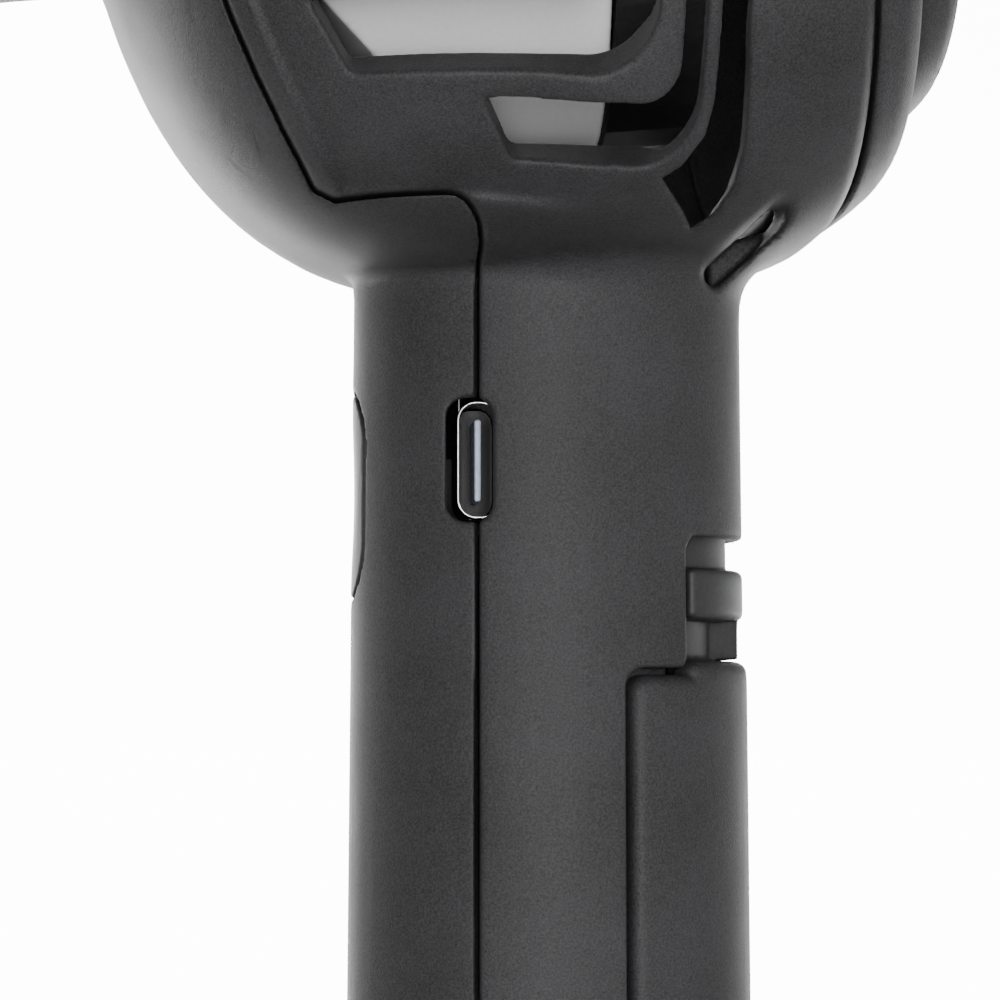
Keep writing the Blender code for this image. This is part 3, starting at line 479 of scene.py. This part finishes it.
def rear_shell_distance(x, y, z):
    """The shell behind the seam: flank panel, grilles, cover opening and latch pocket."""
    head_x, head_z = to_head(x, z)
    depth = head_distance(head_x, y, head_z)
    outer = outer_form(x, y, z, head_x, depth)
    flank = outline_distance(PANEL_OUTLINE, head_x, head_z)
    sunk = PANEL_SINK * smooth_step(0.7, -0.3, flank) * smooth_step(10.0, 14.0, np.abs(y))
    outer = outer + sunk * smooth_step(2.0, 8.0, head_x)
    wall = HEAD_WALL + (BAR_DEPTH - HEAD_WALL) * smooth_step(1.0, -1.0, flank)
    shell = cut(outer, hollow_form(x, y, z, head_x, depth, wall))
    leaning = np.abs(z - HEAD_HEIGHT) + LOUVRE_LEAN * np.clip(-depth, 0.0, BAR_DEPTH + 1.0)
    for front, rear, half_height, height, width, radius in GRILLE_SLOTS:
        slot = slot_distance(x, leaning, front, rear, half_height, height, width, radius)
        slot = np.maximum(slot, 8.0 - np.abs(y))
        shell = cut(shell, slot, 0.5)
    groove = outline_distance(GROOVE_OUTLINE, x, z - HEAD_HEIGHT)
    groove = np.maximum(groove, np.maximum(-depth - GROOVE_DEPTH, GROOVE_NEAREST - np.abs(y)))
    lanyard = capsule(
        head_x, head_z, LANYARD_CENTRE, LANYARD_HALF_LENGTH, LANYARD_ANGLE, LANYARD_RADIUS
    )
    lanyard = np.maximum(lanyard, np.maximum(GROOVE_NEAREST - y, -outer - LANYARD_DEPTH))
    region = outline_distance(SEAM_OUTLINE, x, z)
    if z.max() > JUNCTION_HEIGHT - 5.0:
        shell = cut(shell, groove, 0.5)
        shell = cut(shell, lanyard, 0.8)
    if z.min() < SLOT_TOP + 4.0:
        plate, around, reach = cover_outline(x, y, z, COVER_GAP_ANGLE, 0.5)
        notch_half = (SLOT_TOP - 70.0) / 2
        notch = rounded_box(
            around, z - 70.0 - notch_half, SLOT_HALF_ANGLE * HANDLE_RADIUS_TOP, notch_half, 1.2
        )
        opening = soft_min(plate, notch, 0.8)
        shell = cut(shell, np.maximum(opening, 6.0 - reach), 0.4)
        pocket = rounded_box(
            around, z - POCKET_HEIGHT, POCKET_HALF_ANGLE * HANDLE_RADIUS_TOP, POCKET_HALF_HEIGHT, 0.6
        )
        shell = cut(shell, np.maximum(pocket, reach - PLATE_TOP_RADIUS - 0.25), 0.2)
        ledge = rounded_box(np.abs(around) - LEDGE_AROUND, z - LEDGE_HEIGHT, 3.9, 3.2, 0.4)
        ledge = np.maximum(ledge, np.abs(reach - LEDGE_REACH) - LEDGE_HALF_THICKNESS)
        shell = np.minimum(shell, ledge)
    shell = cut(shell, port_opening(x, y, z), 0.25)
    return soft_max(shell, region, 0.3)


def front_shell_distance(x, y, z):
    """The shell in front of the seam: dome, neck, screw seats and button opening."""
    head_x, head_z = to_head(x, z)
    depth = head_distance(head_x, y, head_z)
    outer = outer_form(x, y, z, head_x, depth)
    axis_reach = np.hypot(y, head_z)
    neck = np.maximum(axis_reach - NECK_RADIUS, NECK_START - head_x)
    neck = soft_max(neck, head_x - NECK_END, 0.9)
    outer = soft_min(outer, neck, 2.0)
    shell = cut(outer, hollow_form(x, y, z, head_x, depth, HEAD_WALL))
    shell = cut(shell, np.maximum(axis_reach - NECK_BORE, NECK_START - head_x), 0.5)
    away = np.hypot(np.abs(y) - HEAD_SCREW_Y, head_z - HEAD_SCREW_Z)
    shell = cut(shell, np.maximum(away - SCREW_SEAT_RADIUS, HEAD_SCREW_SEAT - head_x), 0.5)
    shell = cut(shell, np.maximum(away - SCREW_HOLE_RADIUS, 10.0 - head_x), 0.2)
    away = np.hypot(y, z - HANDLE_SCREW_HEIGHT)
    shell = cut(shell, np.maximum(away - SCREW_SEAT_RADIUS, HANDLE_SCREW_SEAT - x), 0.5)
    shell = cut(shell, np.maximum(away - SCREW_HOLE_RADIUS, 10.0 - x), 0.2)
    half_width = BUTTON_WIDTH / 2 + BUTTON_GAP
    half_length = BUTTON_LENGTH / 2 + BUTTON_GAP
    button = rounded_box(y, z - BUTTON_HEIGHT, half_width, half_length, half_width - 0.01)
    shell = cut(shell, np.maximum(button, 9.0 - x), 0.2)
    shell = cut(shell, port_opening(x, y, z), 0.25)
    region = outline_distance(SEAM_OUTLINE, x, z)
    gap = SEAM_GAP * smooth_step(-1.7, -1.2, outer)
    return soft_max(shell, gap - region, 0.3)


GROOVE_OUTLINE = [
    (-9.3, 36.0),
    (-9.3, -37.4),
    (-8.9, -39.6),
    (-7.7, -41.2),
    (-6.1, -42.1),
    (-9.2, -44.8),
    (-10.6, -44.0),
    (-11.5, -42.4),
    (-11.8, -40.0),
    (-11.2, -32.6),
    (-11.2, 36.0),
]


# Smaller mouldings


def battery_cover_distance(x, y, z):
    """The curved cover with its tongue, notched where the hinge's ears stand."""
    plate, around, reach = cover_outline(x, y, z, 0.0, 0.0)
    tongue_half = (COVER_STEP_TOP - 60.0) / 2
    tongue = rounded_box(
        around, z - 60.0 - tongue_half, math.radians(49.5) * HANDLE_RADIUS_TOP, tongue_half, 1.0
    )
    outline = soft_min(plate, tongue, 0.4)
    radius = HANDLE_RADIUS_TOP + np.maximum(JUNCTION_HEIGHT - z, 0.0) * HANDLE_TAPER
    skin = soft_max(reach - radius - COVER_PROUD, outline, 1.3)
    skin = soft_max(skin, COVER_INNER - reach, 0.2)
    knuckle = np.hypot(x - HINGE_X, z - HINGE_Z)
    return cut(skin, np.maximum(knuckle - 1.0, np.abs(y) - 7.0), 0.2)


def latch_slide_distance(x, y, z):
    """The latch: a curved plate, the tab that shows in the slot, and a hook below."""
    heading, reach = round_handle(x, y)
    radius = HANDLE_RADIUS_TOP + np.maximum(JUNCTION_HEIGHT - z, 0.0) * HANDLE_TAPER
    around = heading * HANDLE_RADIUS_TOP
    plate_half = (PLATE_HEIGHTS[1] - PLATE_HEIGHTS[0]) / 2
    plate = rounded_box(
        around,
        z - PLATE_HEIGHTS[0] - plate_half,
        PLATE_HALF_ANGLE * HANDLE_RADIUS_TOP,
        plate_half,
        1.0,
    )
    plate_outer = PLATE_TOP_RADIUS - PLATE_DIP * smooth_step(0.05, 0.75, np.abs(heading))
    rib = PLATE_RADII[0] + 1.0 + PLATE_RIB * smooth_step(0.24, 0.12, np.abs(heading))
    plate_outer = np.where(z < TAB_BOTTOM, rib, plate_outer)
    plate_outer = np.where(z < COVER_STEP_TOP + 0.1, PLATE_FOOT_RADIUS, plate_outer)
    plate = np.maximum(plate, np.maximum(PLATE_RADII[0] - reach, reach - plate_outer))
    tab_half = (TAB_TOP - TAB_BOTTOM) / 2
    tab = rounded_box(
        around, z - TAB_BOTTOM - tab_half, TAB_HALF_ANGLE * HANDLE_RADIUS_TOP, tab_half, 0.5
    )
    tab = soft_max(np.maximum(tab, PLATE_RADII[0] - reach), reach - radius, 0.7)
    hook = np.maximum(np.abs(heading) - math.radians(12.0), 78.6 - z)
    hook = np.maximum(hook * 3.0, np.maximum(z - 83.0, np.abs(reach - 12.4) - 0.5))
    return np.minimum(soft_min(plate, tab, 0.3), hook)


def intake_cap_distance(x, y, z):
    """x, y and z are in the head's frame here."""
    share, steepness = section_share(y, z)
    places = np.array([place for place, _ in reversed(CAP_PROFILE)])
    shares = np.array([value for _, value in reversed(CAP_PROFILE)])
    scale = np.interp(x, places, shares).astype(np.float32)
    slope = np.gradient(shares, places)
    rise = np.interp(x, places, slope).astype(np.float32)
    dome = (share - scale) / np.sqrt(steepness + rise**2)
    wave = 0.5 - 0.5 * np.cos(math.tau * (share - CAP_RINGS[0][0] - 0.03) / CAP_RING_PITCH)
    dome = dome - CAP_RIB_SWELL * wave * smooth_step(0.5, 0.75, share)
    dome = soft_max(dome, CAP_PROFILE[-1][0] - x, 1.0)
    skin = soft_max(cut(dome, dome + CAP_WALL, 0.3), x - CAP_PROFILE[0][0], 0.4)
    ribs = skin
    for inner, outer in CAP_RINGS:
        middle, half = (inner + outer) / 2, (outer - inner) / 2 * SECTION_MEAN
        ring = np.abs(share - middle) * SECTION_MEAN - half
        ribs = cut(ribs, ring, 2.2)
    spokes = np.minimum(np.abs(y), np.abs(z)) - CAP_SPOKE_HALF_WIDTH
    spokes = soft_max(np.maximum(skin, dome + 2.2), spokes, 0.4)
    hub = soft_max(skin, share * SECTION_MEAN - CAP_RINGS[-1][0] * SECTION_MEAN, 0.6)
    depth = head_distance(x, y, z)
    skirt = np.maximum(depth + HEAD_WALL + 0.3, -depth - HEAD_WALL - 1.9)
    skirt = soft_max(skirt, np.maximum(x + 12.5, -22.0 - x), 0.4)
    return np.minimum(np.minimum(ribs, spokes), np.minimum(hub, skirt))


def power_button_distance(x, y, z):
    """A pill-shaped button with a shallow dish and an inner flange."""
    flat = rounded_box(y, z - BUTTON_HEIGHT, BUTTON_WIDTH / 2, BUTTON_LENGTH / 2, 4.69)
    crown = np.hypot(x, y) - HANDLE_RADIUS_TOP - (JUNCTION_HEIGHT - z) * HANDLE_TAPER
    rise = (z - BUTTON_HEIGHT) * DISH_STRETCH
    dish = np.sqrt((x - DISH_X) ** 2 + y**2 + rise**2) - DISH_RADIUS
    body = soft_max(soft_max(flat, crown, 0.3), 11.0 - x, 0.2)
    body = cut(body, dish, 0.6)
    flange = rounded_box(y, z - BUTTON_HEIGHT, 5.4, 8.7, 5.3)
    flange = np.maximum(flange, np.abs(x - 10.4) - 0.6)
    return np.minimum(body, flange)


def port_socket_distance(x, y, z):
    """The charging port's pressed steel shell, closed at its inner end."""
    flat = rounded_box(x - PORT_X, z - PORT_HEIGHT, PORT_SIZE[0] / 2, PORT_SIZE[1] / 2, 1.45)
    outer = soft_max(flat, np.maximum(y - PORT_FACE_Y, PORT_FACE_Y - PORT_SIZE[2] - y), 0.08)
    return cut(outer, np.maximum(flat + PORT_SHEET, PORT_FACE_Y - PORT_SIZE[2] + 1.2 - y), 0.06)


def port_tongue_distance(x, y, z):
    flat = rounded_box(x - PORT_X, z - PORT_HEIGHT, 0.26, 3.15, 0.2)
    return soft_max(flat, np.abs(y - 9.1) - 2.45, 0.15)


def fan_duct_distance(x, y, z):
    """The grey duct in the head's frame: a drum with its front corners cut off, and a neck."""
    axis_reach = np.hypot(y, z)
    corner = (np.abs(z) + x - DUCT_CORNER) / math.sqrt(2)
    drum = np.maximum(axis_reach - DUCT_RADIUS, corner)
    outer = soft_max(drum, np.maximum(x - DUCT_FRONT, DUCT_REAR - x), 0.8)
    inside = np.maximum(drum + DUCT_WALL, x - DUCT_FRONT + DUCT_WALL)
    neck = np.maximum(axis_reach - NOZZLE_RADIUS - 1.4, np.maximum(DUCT_FRONT - 1.0 - x, x - 33.2))
    bore = np.maximum(axis_reach - NOZZLE_RADIUS + 0.4, 17.0 - x)
    return cut(soft_min(cut(outer, inside), neck, 0.8), bore, 0.3)


def in_head_frame(made):
    """Puts a mesh drawn in the head's frame in its place."""
    for vertex in made.data.vertices:
        x, z = from_head(vertex.co.x / MM, vertex.co.z / MM)
        vertex.co.x, vertex.co.z = x * MM, z * MM
    return made


# Turned pieces


def rounded_profile(points, radius, steps=4):
    """A closed (radius, height) outline with each corner rounded."""
    rounded = []
    count = len(points)
    for index in range(count):
        before = Vector(points[index - 1])
        here = Vector(points[index])
        if here.x == 0.0:
            rounded.append(here)
            continue
        after = Vector(points[(index + 1) % count])
        reach = min(radius, (before - here).length * 0.45, (after - here).length * 0.45)
        start = here + (before - here).normalized() * reach
        end = here + (after - here).normalized() * reach
        for step in range(steps + 1):
            share = step / steps
            rounded.append(
                start * (1 - share) ** 2 + here * 2 * share * (1 - share) + end * share**2
            )
    return rounded


def turned(name, profile, place, sides=112):
    """A ring-shaped solid: the profile swept round, with place turning each point into the world."""
    shape = bmesh.new()
    rings = []
    for step in range(sides):
        angle = math.tau * step / sides
        ring = [
            shape.verts.new(Vector(place(radius, angle, height)) * MM) for radius, height in profile
        ]
        rings.append(ring)
    count = len(profile)
    for first, second in zip(rings, rings[1:] + rings[:1]):
        for i in range(count):
            j = (i + 1) % count
            shape.faces.new((first[i], first[j], second[j], second[i]))
    bmesh.ops.remove_doubles(shape, verts=shape.verts, dist=0.001 * MM)
    bmesh.ops.recalc_face_normals(shape, faces=shape.faces)
    mesh = bpy.data.meshes.new(name)
    shape.to_mesh(mesh)
    shape.free()
    mesh.shade_smooth()
    mesh.set_sharp_from_angle(angle=math.radians(50))
    made = bpy.data.objects.new(name, mesh)
    bpy.context.scene.collection.objects.link(made)
    return made


def round_fan_axis(radius, angle, along):
    """A point of a piece turned about the fan's axis."""
    x, z = from_head(along, radius * math.sin(angle))
    return x, radius * math.cos(angle), z


def round_foot(share, angle, height):
    """A point of a piece with the foot's oval outline; a share of 1 is the full oval."""
    x = FOOT_SHIFT + FOOT_RADIUS_X * share * math.cos(angle)
    return x, FOOT_RADIUS_Y * share * math.sin(angle), height


NOZZLE_PROFILE = (
    (NOZZLE_TIP_RADIUS, NOZZLE_TIP),
    (NOZZLE_TIP_RADIUS + 0.2, 105.0),
    (NOZZLE_RADIUS, 62.0),
    (NOZZLE_RADIUS, 52.0),
    (NECK_RADIUS, 51.4),
    (NECK_RADIUS, 49.3),
    (NOZZLE_RADIUS, 48.9),
    (NOZZLE_RADIUS, 36.6),
    (NOZZLE_RADIUS - 1.6, 36.6),
    (NOZZLE_RADIUS - 1.6, 62.0),
    (NOZZLE_TIP_RADIUS - 1.6, 105.0),
    (NOZZLE_TIP_RADIUS - 1.6, NOZZLE_TIP),
)
SEAL_PROFILE = (
    (NECK_RADIUS - 0.2, 48.7),
    (NECK_RADIUS - 0.2, 47.3),
    (NOZZLE_RADIUS + 0.3, 47.3),
    (NOZZLE_RADIUS + 0.3, 48.7),
)
BUMPER_PROFILE = (
    (NOZZLE_TIP_RADIUS + 1.5, NOZZLE_TIP - 0.8),
    (NOZZLE_TIP_RADIUS + 1.7, 106.6),
    (NOZZLE_TIP_RADIUS + 0.5, 106.0),
    (NOZZLE_TIP_RADIUS + 0.5, NOZZLE_TIP),
    (NOZZLE_TIP_RADIUS + 0.9, NOZZLE_TIP),
)
BASE_PROFILE = ((0.0, 1.7), (0.993, 1.7), (0.993, 3.1), (0.0, 3.1))
PAD_PROFILE = ((0.0, 0.0), (0.90, 0.0), (0.92, 0.5), (0.92, 1.4), (0.0, 1.4))


# Materials


def principled(name):
    """A node material, its node tree and its shader."""
    material = bpy.data.materials.new(name)
    material.use_nodes = True
    tree = material.node_tree
    return material, tree, tree.nodes["Principled BSDF"]


def moulded_plastic(name, dark, light, roughness, grain, grain_depth, specular=0.5):
    """Plastic with a fine moulded grain, faint mottling, and roughness that varies."""
    material, tree, shader = principled(name)
    place = tree.nodes.new("ShaderNodeTexCoord")
    fine = tree.nodes.new("ShaderNodeTexNoise")
    fine.inputs["Scale"].default_value = 1000.0 / grain
    fine.inputs["Detail"].default_value = 2.0
    broad = tree.nodes.new("ShaderNodeTexNoise")
    broad.inputs["Scale"].default_value = 90.0
    broad.inputs["Detail"].default_value = 4.0
    for noise in (fine, broad):
        tree.links.new(place.outputs["Object"], noise.inputs["Vector"])
    both = tree.nodes.new("ShaderNodeMix")
    both.data_type = "FLOAT"
    both.inputs[0].default_value = 0.35
    tree.links.new(fine.outputs["Fac"], both.inputs[2])
    tree.links.new(broad.outputs["Fac"], both.inputs[3])
    colour = tree.nodes.new("ShaderNodeValToRGB")
    colour.color_ramp.elements[0].position = 0.32
    colour.color_ramp.elements[1].position = 0.68
    colour.color_ramp.elements[0].color = (*dark, 1.0)
    colour.color_ramp.elements[1].color = (*light, 1.0)
    tree.links.new(both.outputs[0], colour.inputs["Fac"])
    tree.links.new(colour.outputs["Color"], shader.inputs["Base Color"])
    gloss = tree.nodes.new("ShaderNodeMapRange")
    gloss.inputs["To Min"].default_value = roughness - 0.07
    gloss.inputs["To Max"].default_value = roughness + 0.07
    tree.links.new(broad.outputs["Fac"], gloss.inputs["Value"])
    tree.links.new(gloss.outputs["Result"], shader.inputs["Roughness"])
    bump = tree.nodes.new("ShaderNodeBump")
    bump.inputs["Strength"].default_value = 1.0
    bump.inputs["Distance"].default_value = grain_depth * MM
    tree.links.new(fine.outputs["Fac"], bump.inputs["Height"])
    tree.links.new(bump.outputs["Normal"], shader.inputs["Normal"])
    shader.inputs["Specular IOR Level"].default_value = specular
    return material


def brushed_metal(name, dark, light, roughness, stretch=(1.0, 1.0, 0.05)):
    """Metal with fine drawn lines along one axis."""
    material, tree, shader = principled(name)
    place = tree.nodes.new("ShaderNodeTexCoord")
    squeeze = tree.nodes.new("ShaderNodeMapping")
    squeeze.inputs["Scale"].default_value = stretch
    lines = tree.nodes.new("ShaderNodeTexNoise")
    lines.inputs["Scale"].default_value = 6000.0
    lines.inputs["Detail"].default_value = 3.0
    tree.links.new(place.outputs["Object"], squeeze.inputs["Vector"])
    tree.links.new(squeeze.outputs["Vector"], lines.inputs["Vector"])
    colour = tree.nodes.new("ShaderNodeValToRGB")
    colour.color_ramp.elements[0].position = 0.3
    colour.color_ramp.elements[1].position = 0.7
    colour.color_ramp.elements[0].color = (*dark, 1.0)
    colour.color_ramp.elements[1].color = (*light, 1.0)
    tree.links.new(lines.outputs["Fac"], colour.inputs["Fac"])
    tree.links.new(colour.outputs["Color"], shader.inputs["Base Color"])
    gloss = tree.nodes.new("ShaderNodeMapRange")
    gloss.inputs["To Min"].default_value = roughness - 0.06
    gloss.inputs["To Max"].default_value = roughness + 0.08
    tree.links.new(lines.outputs["Fac"], gloss.inputs["Value"])
    tree.links.new(gloss.outputs["Result"], shader.inputs["Roughness"])
    shader.inputs["Metallic"].default_value = 1.0
    return material


def port_steel_painted_shade():
    """The port's steel with painted shade: near black inside, keeping the steel's own colour only at
    its lip, so that the socket reads black.
    """
    material = brushed_metal("port_steel_painted_shade", (0.50, 0.50, 0.50), (0.70, 0.69, 0.67), 0.24)
    tree = material.node_tree
    shader = tree.nodes["Principled BSDF"]
    place = tree.nodes.new("ShaderNodeTexCoord")
    split = tree.nodes.new("ShaderNodeSeparateXYZ")
    tree.links.new(place.outputs["Object"], split.inputs["Vector"])
    lip = tree.nodes.new("ShaderNodeMapRange")
    lip.inputs["From Min"].default_value = (PORT_FACE_Y - 0.25) * MM
    lip.inputs["From Max"].default_value = (PORT_FACE_Y - 0.05) * MM
    tree.links.new(split.outputs["Y"], lip.inputs["Value"])
    shade = tree.nodes.new("ShaderNodeMix")
    shade.data_type = "RGBA"
    # Painted shade: deeper than its lip, the socket's inside is painted near black.
    shade.inputs[6].default_value = (0.004, 0.004, 0.004, 1.0)
    tree.links.new(lip.outputs["Result"], shade.inputs[0])
    tree.links.new(shader.inputs["Base Color"].links[0].from_socket, shade.inputs[7])
    tree.links.new(shade.outputs[2], shader.inputs["Base Color"])
    return material


FINISHES = {
    "black_plastic": moulded_plastic(
        "black_plastic", (0.006, 0.0057, 0.0063), (0.034, 0.0325, 0.035), 0.60, 0.16, 0.034, 0.28
    ),
    "dark_plastic": moulded_plastic(
        "dark_plastic", (0.005, 0.005, 0.0055), (0.014, 0.014, 0.015), 0.55, 0.30, 0.010, 0.4
    ),
    "grey_plastic": moulded_plastic(
        "grey_plastic", (0.88, 0.88, 0.88), (0.94, 0.94, 0.94), 0.42, 0.40, 0.006
    ),
    "fan_plastic": moulded_plastic(
        "fan_plastic", (0.025, 0.025, 0.027), (0.045, 0.045, 0.048), 0.35, 0.40, 0.006
    ),
    "rubber": moulded_plastic(
        "rubber", (0.010, 0.010, 0.011), (0.022, 0.022, 0.023), 0.80, 0.25, 0.020, 0.3
    ),
    "board_green": moulded_plastic(
        "board_green", (0.012, 0.09, 0.035), (0.03, 0.15, 0.06), 0.40, 0.60, 0.010
    ),
    "tongue_grey": moulded_plastic(
        "tongue_grey", (0.22, 0.26, 0.34), (0.34, 0.39, 0.50), 0.40, 0.50, 0.005
    ),
    "cell_wrap": moulded_plastic(
        "cell_wrap", (0.04, 0.14, 0.29), (0.06, 0.18, 0.36), 0.30, 1.50, 0.010
    ),
    "lead_red": moulded_plastic(
        "lead_red", (0.35, 0.015, 0.015), (0.50, 0.03, 0.03), 0.45, 0.30, 0.005
    ),
    "lead_black": moulded_plastic(
        "lead_black", (0.012, 0.012, 0.012), (0.03, 0.03, 0.03), 0.45, 0.30, 0.005
    ),
    "steel": brushed_metal("steel", (0.50, 0.50, 0.50), (0.70, 0.69, 0.67), 0.24),
    "spring_steel": brushed_metal("spring_steel", (0.42, 0.42, 0.43), (0.58, 0.58, 0.59), 0.30),
    "nickel": brushed_metal("nickel", (0.58, 0.55, 0.50), (0.72, 0.69, 0.62), 0.25),
    "brass": brushed_metal("brass", (0.66, 0.47, 0.20), (0.83, 0.62, 0.30), 0.28),
    "screw_black": brushed_metal("screw_black", (0.035, 0.035, 0.036), (0.07, 0.07, 0.07), 0.35),
}


def stands_for(made, node, body):
    """The piece takes over from a CAD node: its finish, its body and its place."""
    slot = SLOT_OF[node]
    made.data.materials.append(FINISHES[slot])
    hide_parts(node)
    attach(made, body)


record = frame["record"]
SLOT_OF = {part["node"]: part["material_slot"] for part in record["subparts"]}
for node, cad in frame["nodes"].items():
    cad.data.materials.clear()
    cad.data.materials.append(FINISHES[SLOT_OF[node]])

HEAD_SPAN_Y = (-HEAD_HALF_WIDTH, HEAD_HALF_WIDTH)
HEAD_TOP = 206.0

rear_shell = solid(
    "rear_shell_moulding",
    (-23.0, 34.0),
    HEAD_SPAN_Y,
    (SHELL_FLOOR, HEAD_TOP),
    0.30,
    rear_shell_distance,
)
stands_for(rear_shell, "rear_shell", "housing")
front_shell = solid(
    "front_shell_moulding",
    (6.0, 50.0),
    HEAD_SPAN_Y,
    (SHELL_FLOOR, HEAD_TOP),
    0.30,
    front_shell_distance,
)
stands_for(front_shell, "front_shell", "housing")
cover = solid(
    "battery_cover_moulding", (-17.0, -3.0), (-16.0, 16.0), (19.0, 81.2), 0.22, battery_cover_distance
)
stands_for(cover, "battery_cover", "battery_cover")
latch = solid(
    "latch_moulding", (-16.5, -6.0), (-13.0, 13.0), (78.4, 92.6), 0.18, latch_slide_distance
)
stands_for(latch, "latch_slide", "latch")
cap = solid(
    "intake_cap_moulding", (-31.0, -12.0), HEAD_SPAN_Y, (-46.0, 46.0), 0.38, intake_cap_distance
)
in_head_frame(cap)
stands_for(cap, "intake_cap", "intake_cap")
button = solid(
    "power_button_moulding", (9.6, 15.6), (-6.0, 6.0), (85.0, 103.0), 0.15, power_button_distance
)
stands_for(button, "power_button", "power_button")

socket = solid(
    "port_socket_pressing", (4.4, 8.0), (5.0, 12.6), (91.6, 100.8), 0.10, port_socket_distance
)
stands_for(socket, "port_socket", "housing")
socket.data.materials[0] = port_steel_painted_shade()
tongue = solid(
    "port_tongue_moulding", (5.7, 6.7), (6.5, 11.7), (92.8, 99.6), 0.10, port_tongue_distance
)
stands_for(tongue, "port_tongue", "housing")
duct = solid(
    "fan_duct_moulding", (-0.6, 33.3), (-37.6, 37.6), (-37.6, 37.6), 0.34, fan_duct_distance
)
in_head_frame(duct)
stands_for(duct, "fan_duct", "housing")

TURNED_PIECES = (
    ("nozzle", NOZZLE_PROFILE, 0.35, round_fan_axis, "nozzle"),
    ("nozzle_seal", SEAL_PROFILE, 0.25, round_fan_axis, "nozzle_seal"),
    ("nozzle_bumper", BUMPER_PROFILE, 0.30, round_fan_axis, "nozzle"),
    ("base_plate", BASE_PROFILE, 0.01, round_foot, "housing"),
    ("foot_pad", PAD_PROFILE, 0.01, round_foot, "housing"),
)
for node, profile, radius, place, body in TURNED_PIECES:
    stands_for(turned(f"{node}_turned", rounded_profile(profile, radius), place), node, body)

# Camera, lights and floor

VIEW_SPAN = 1000.0 / 3784.0
VIEW_YAW = math.radians(4.0)
VIEW_PITCH = math.radians(3.0)
VIEW_PLACE = (24.6, 299.0, 78.1)

lens = bpy.data.cameras.new("view")
lens.angle = 2 * math.atan(VIEW_SPAN / 2)
lens.clip_start = 0.01
camera = bpy.data.objects.new("view", lens)
camera.location = Vector(VIEW_PLACE) * MM
looking = Vector(
    (
        -math.sin(VIEW_YAW) * math.cos(VIEW_PITCH),
        -math.cos(VIEW_YAW) * math.cos(VIEW_PITCH),
        math.sin(VIEW_PITCH),
    )
)
camera.rotation_euler = looking.to_track_quat("-Z", "Y").to_euler()
bpy.context.scene.collection.objects.link(camera)
bpy.context.scene.camera = camera

# The far floor and the sky beyond it glow alike, so that they meet as one white sweep.
SWEEP_GLOW = 14.0
SIDE_GLOW = 0.9
DOME_GLOW = 0.25
SWEEP_CENTRE = (0.0, -3.4, 0.0)
SWEEP_REACH = (3.05, 2.72)
FLOOR_WHITE = 0.90


def map_range(tree, source, low, high, to_low, to_high):
    """A smooth step of a value between two others."""
    step = tree.nodes.new("ShaderNodeMapRange")
    step.interpolation_type = "SMOOTHSTEP"
    step.inputs["From Min"].default_value = low
    step.inputs["From Max"].default_value = high
    step.inputs["To Min"].default_value = to_low
    step.inputs["To Max"].default_value = to_high
    tree.links.new(source, step.inputs["Value"])
    return step.outputs["Result"]


floor_mesh = bpy.data.meshes.new("floor")
floor_shape = bmesh.new()
bmesh.ops.create_circle(floor_shape, cap_ends=True, segments=96, radius=6.0)
floor_shape.to_mesh(floor_mesh)
floor_shape.free()
floor = bpy.data.objects.new("floor", floor_mesh)
floor_material, floor_tree, floor_shader = principled("floor")
floor_shader.inputs["Roughness"].default_value = 0.9
floor_shader.inputs["Emission Color"].default_value = (1.0, 1.0, 1.0, 1.0)
floor_place = floor_tree.nodes.new("ShaderNodeTexCoord")
floor_reach = floor_tree.nodes.new("ShaderNodeVectorMath")
floor_reach.operation = "DISTANCE"
floor_reach.inputs[1].default_value = SWEEP_CENTRE
floor_tree.links.new(floor_place.outputs["Object"], floor_reach.inputs[0])
reach_out = floor_reach.outputs["Value"]
floor_near, floor_far = SWEEP_REACH
glow = map_range(floor_tree, reach_out, floor_far, floor_near, SWEEP_GLOW, 0.0)
white = map_range(floor_tree, reach_out, floor_far, floor_near, 0.0, FLOOR_WHITE)
floor_tree.links.new(glow, floor_shader.inputs["Emission Strength"])
floor_tree.links.new(white, floor_shader.inputs["Base Color"])
floor_mesh.materials.append(floor_material)
bpy.context.scene.collection.objects.link(floor)

world = bpy.data.worlds.new("studio")
world.use_nodes = True
sky = world.node_tree
sky_way = sky.nodes.new("ShaderNodeTexCoord")
sky_split = sky.nodes.new("ShaderNodeSeparateXYZ")
sky.links.new(sky_way.outputs["Generated"], sky_split.inputs["Vector"])
sweep = map_range(sky, sky_split.outputs["Y"], -0.975, -0.88, SWEEP_GLOW, SIDE_GLOW)
overhead = map_range(sky, sky_split.outputs["Z"], 0.25, 0.50, 1.0, DOME_GLOW / SIDE_GLOW)
sky_strength = sky.nodes.new("ShaderNodeMath")
sky_strength.operation = "MULTIPLY"
sky.links.new(sweep, sky_strength.inputs[0])
sky.links.new(overhead, sky_strength.inputs[1])
sky.links.new(sky_strength.outputs["Value"], sky.nodes["Background"].inputs["Strength"])
sky.nodes["Background"].inputs["Color"].default_value = (1.0, 1.0, 1.0, 1.0)
bpy.context.scene.world = world


def soft_light(name, place, size, power, target=(0.0, 0.0, 0.11)):
    """A square area light aimed at the blower."""
    data = bpy.data.lights.new(name, "AREA")
    data.energy = power
    data.size = size
    lamp = bpy.data.objects.new(name, data)
    lamp.location = place
    aim = Vector(target) - Vector(place)
    lamp.rotation_euler = aim.to_track_quat("-Z", "Y").to_euler()
    bpy.context.scene.collection.objects.link(lamp)


soft_light("front_low", (0.55, 0.45, 0.05), 0.35, 0.8)
soft_light("rear_side", (-0.60, 0.35, 0.25), 0.40, 1.4)
soft_light("camera_side", (0.03, 0.60, 0.07), 0.16, 3.4, (0.0, 0.03, 0.13))
soft_light("over", (0.0, 0.2, 0.9), 0.6, 2.0)
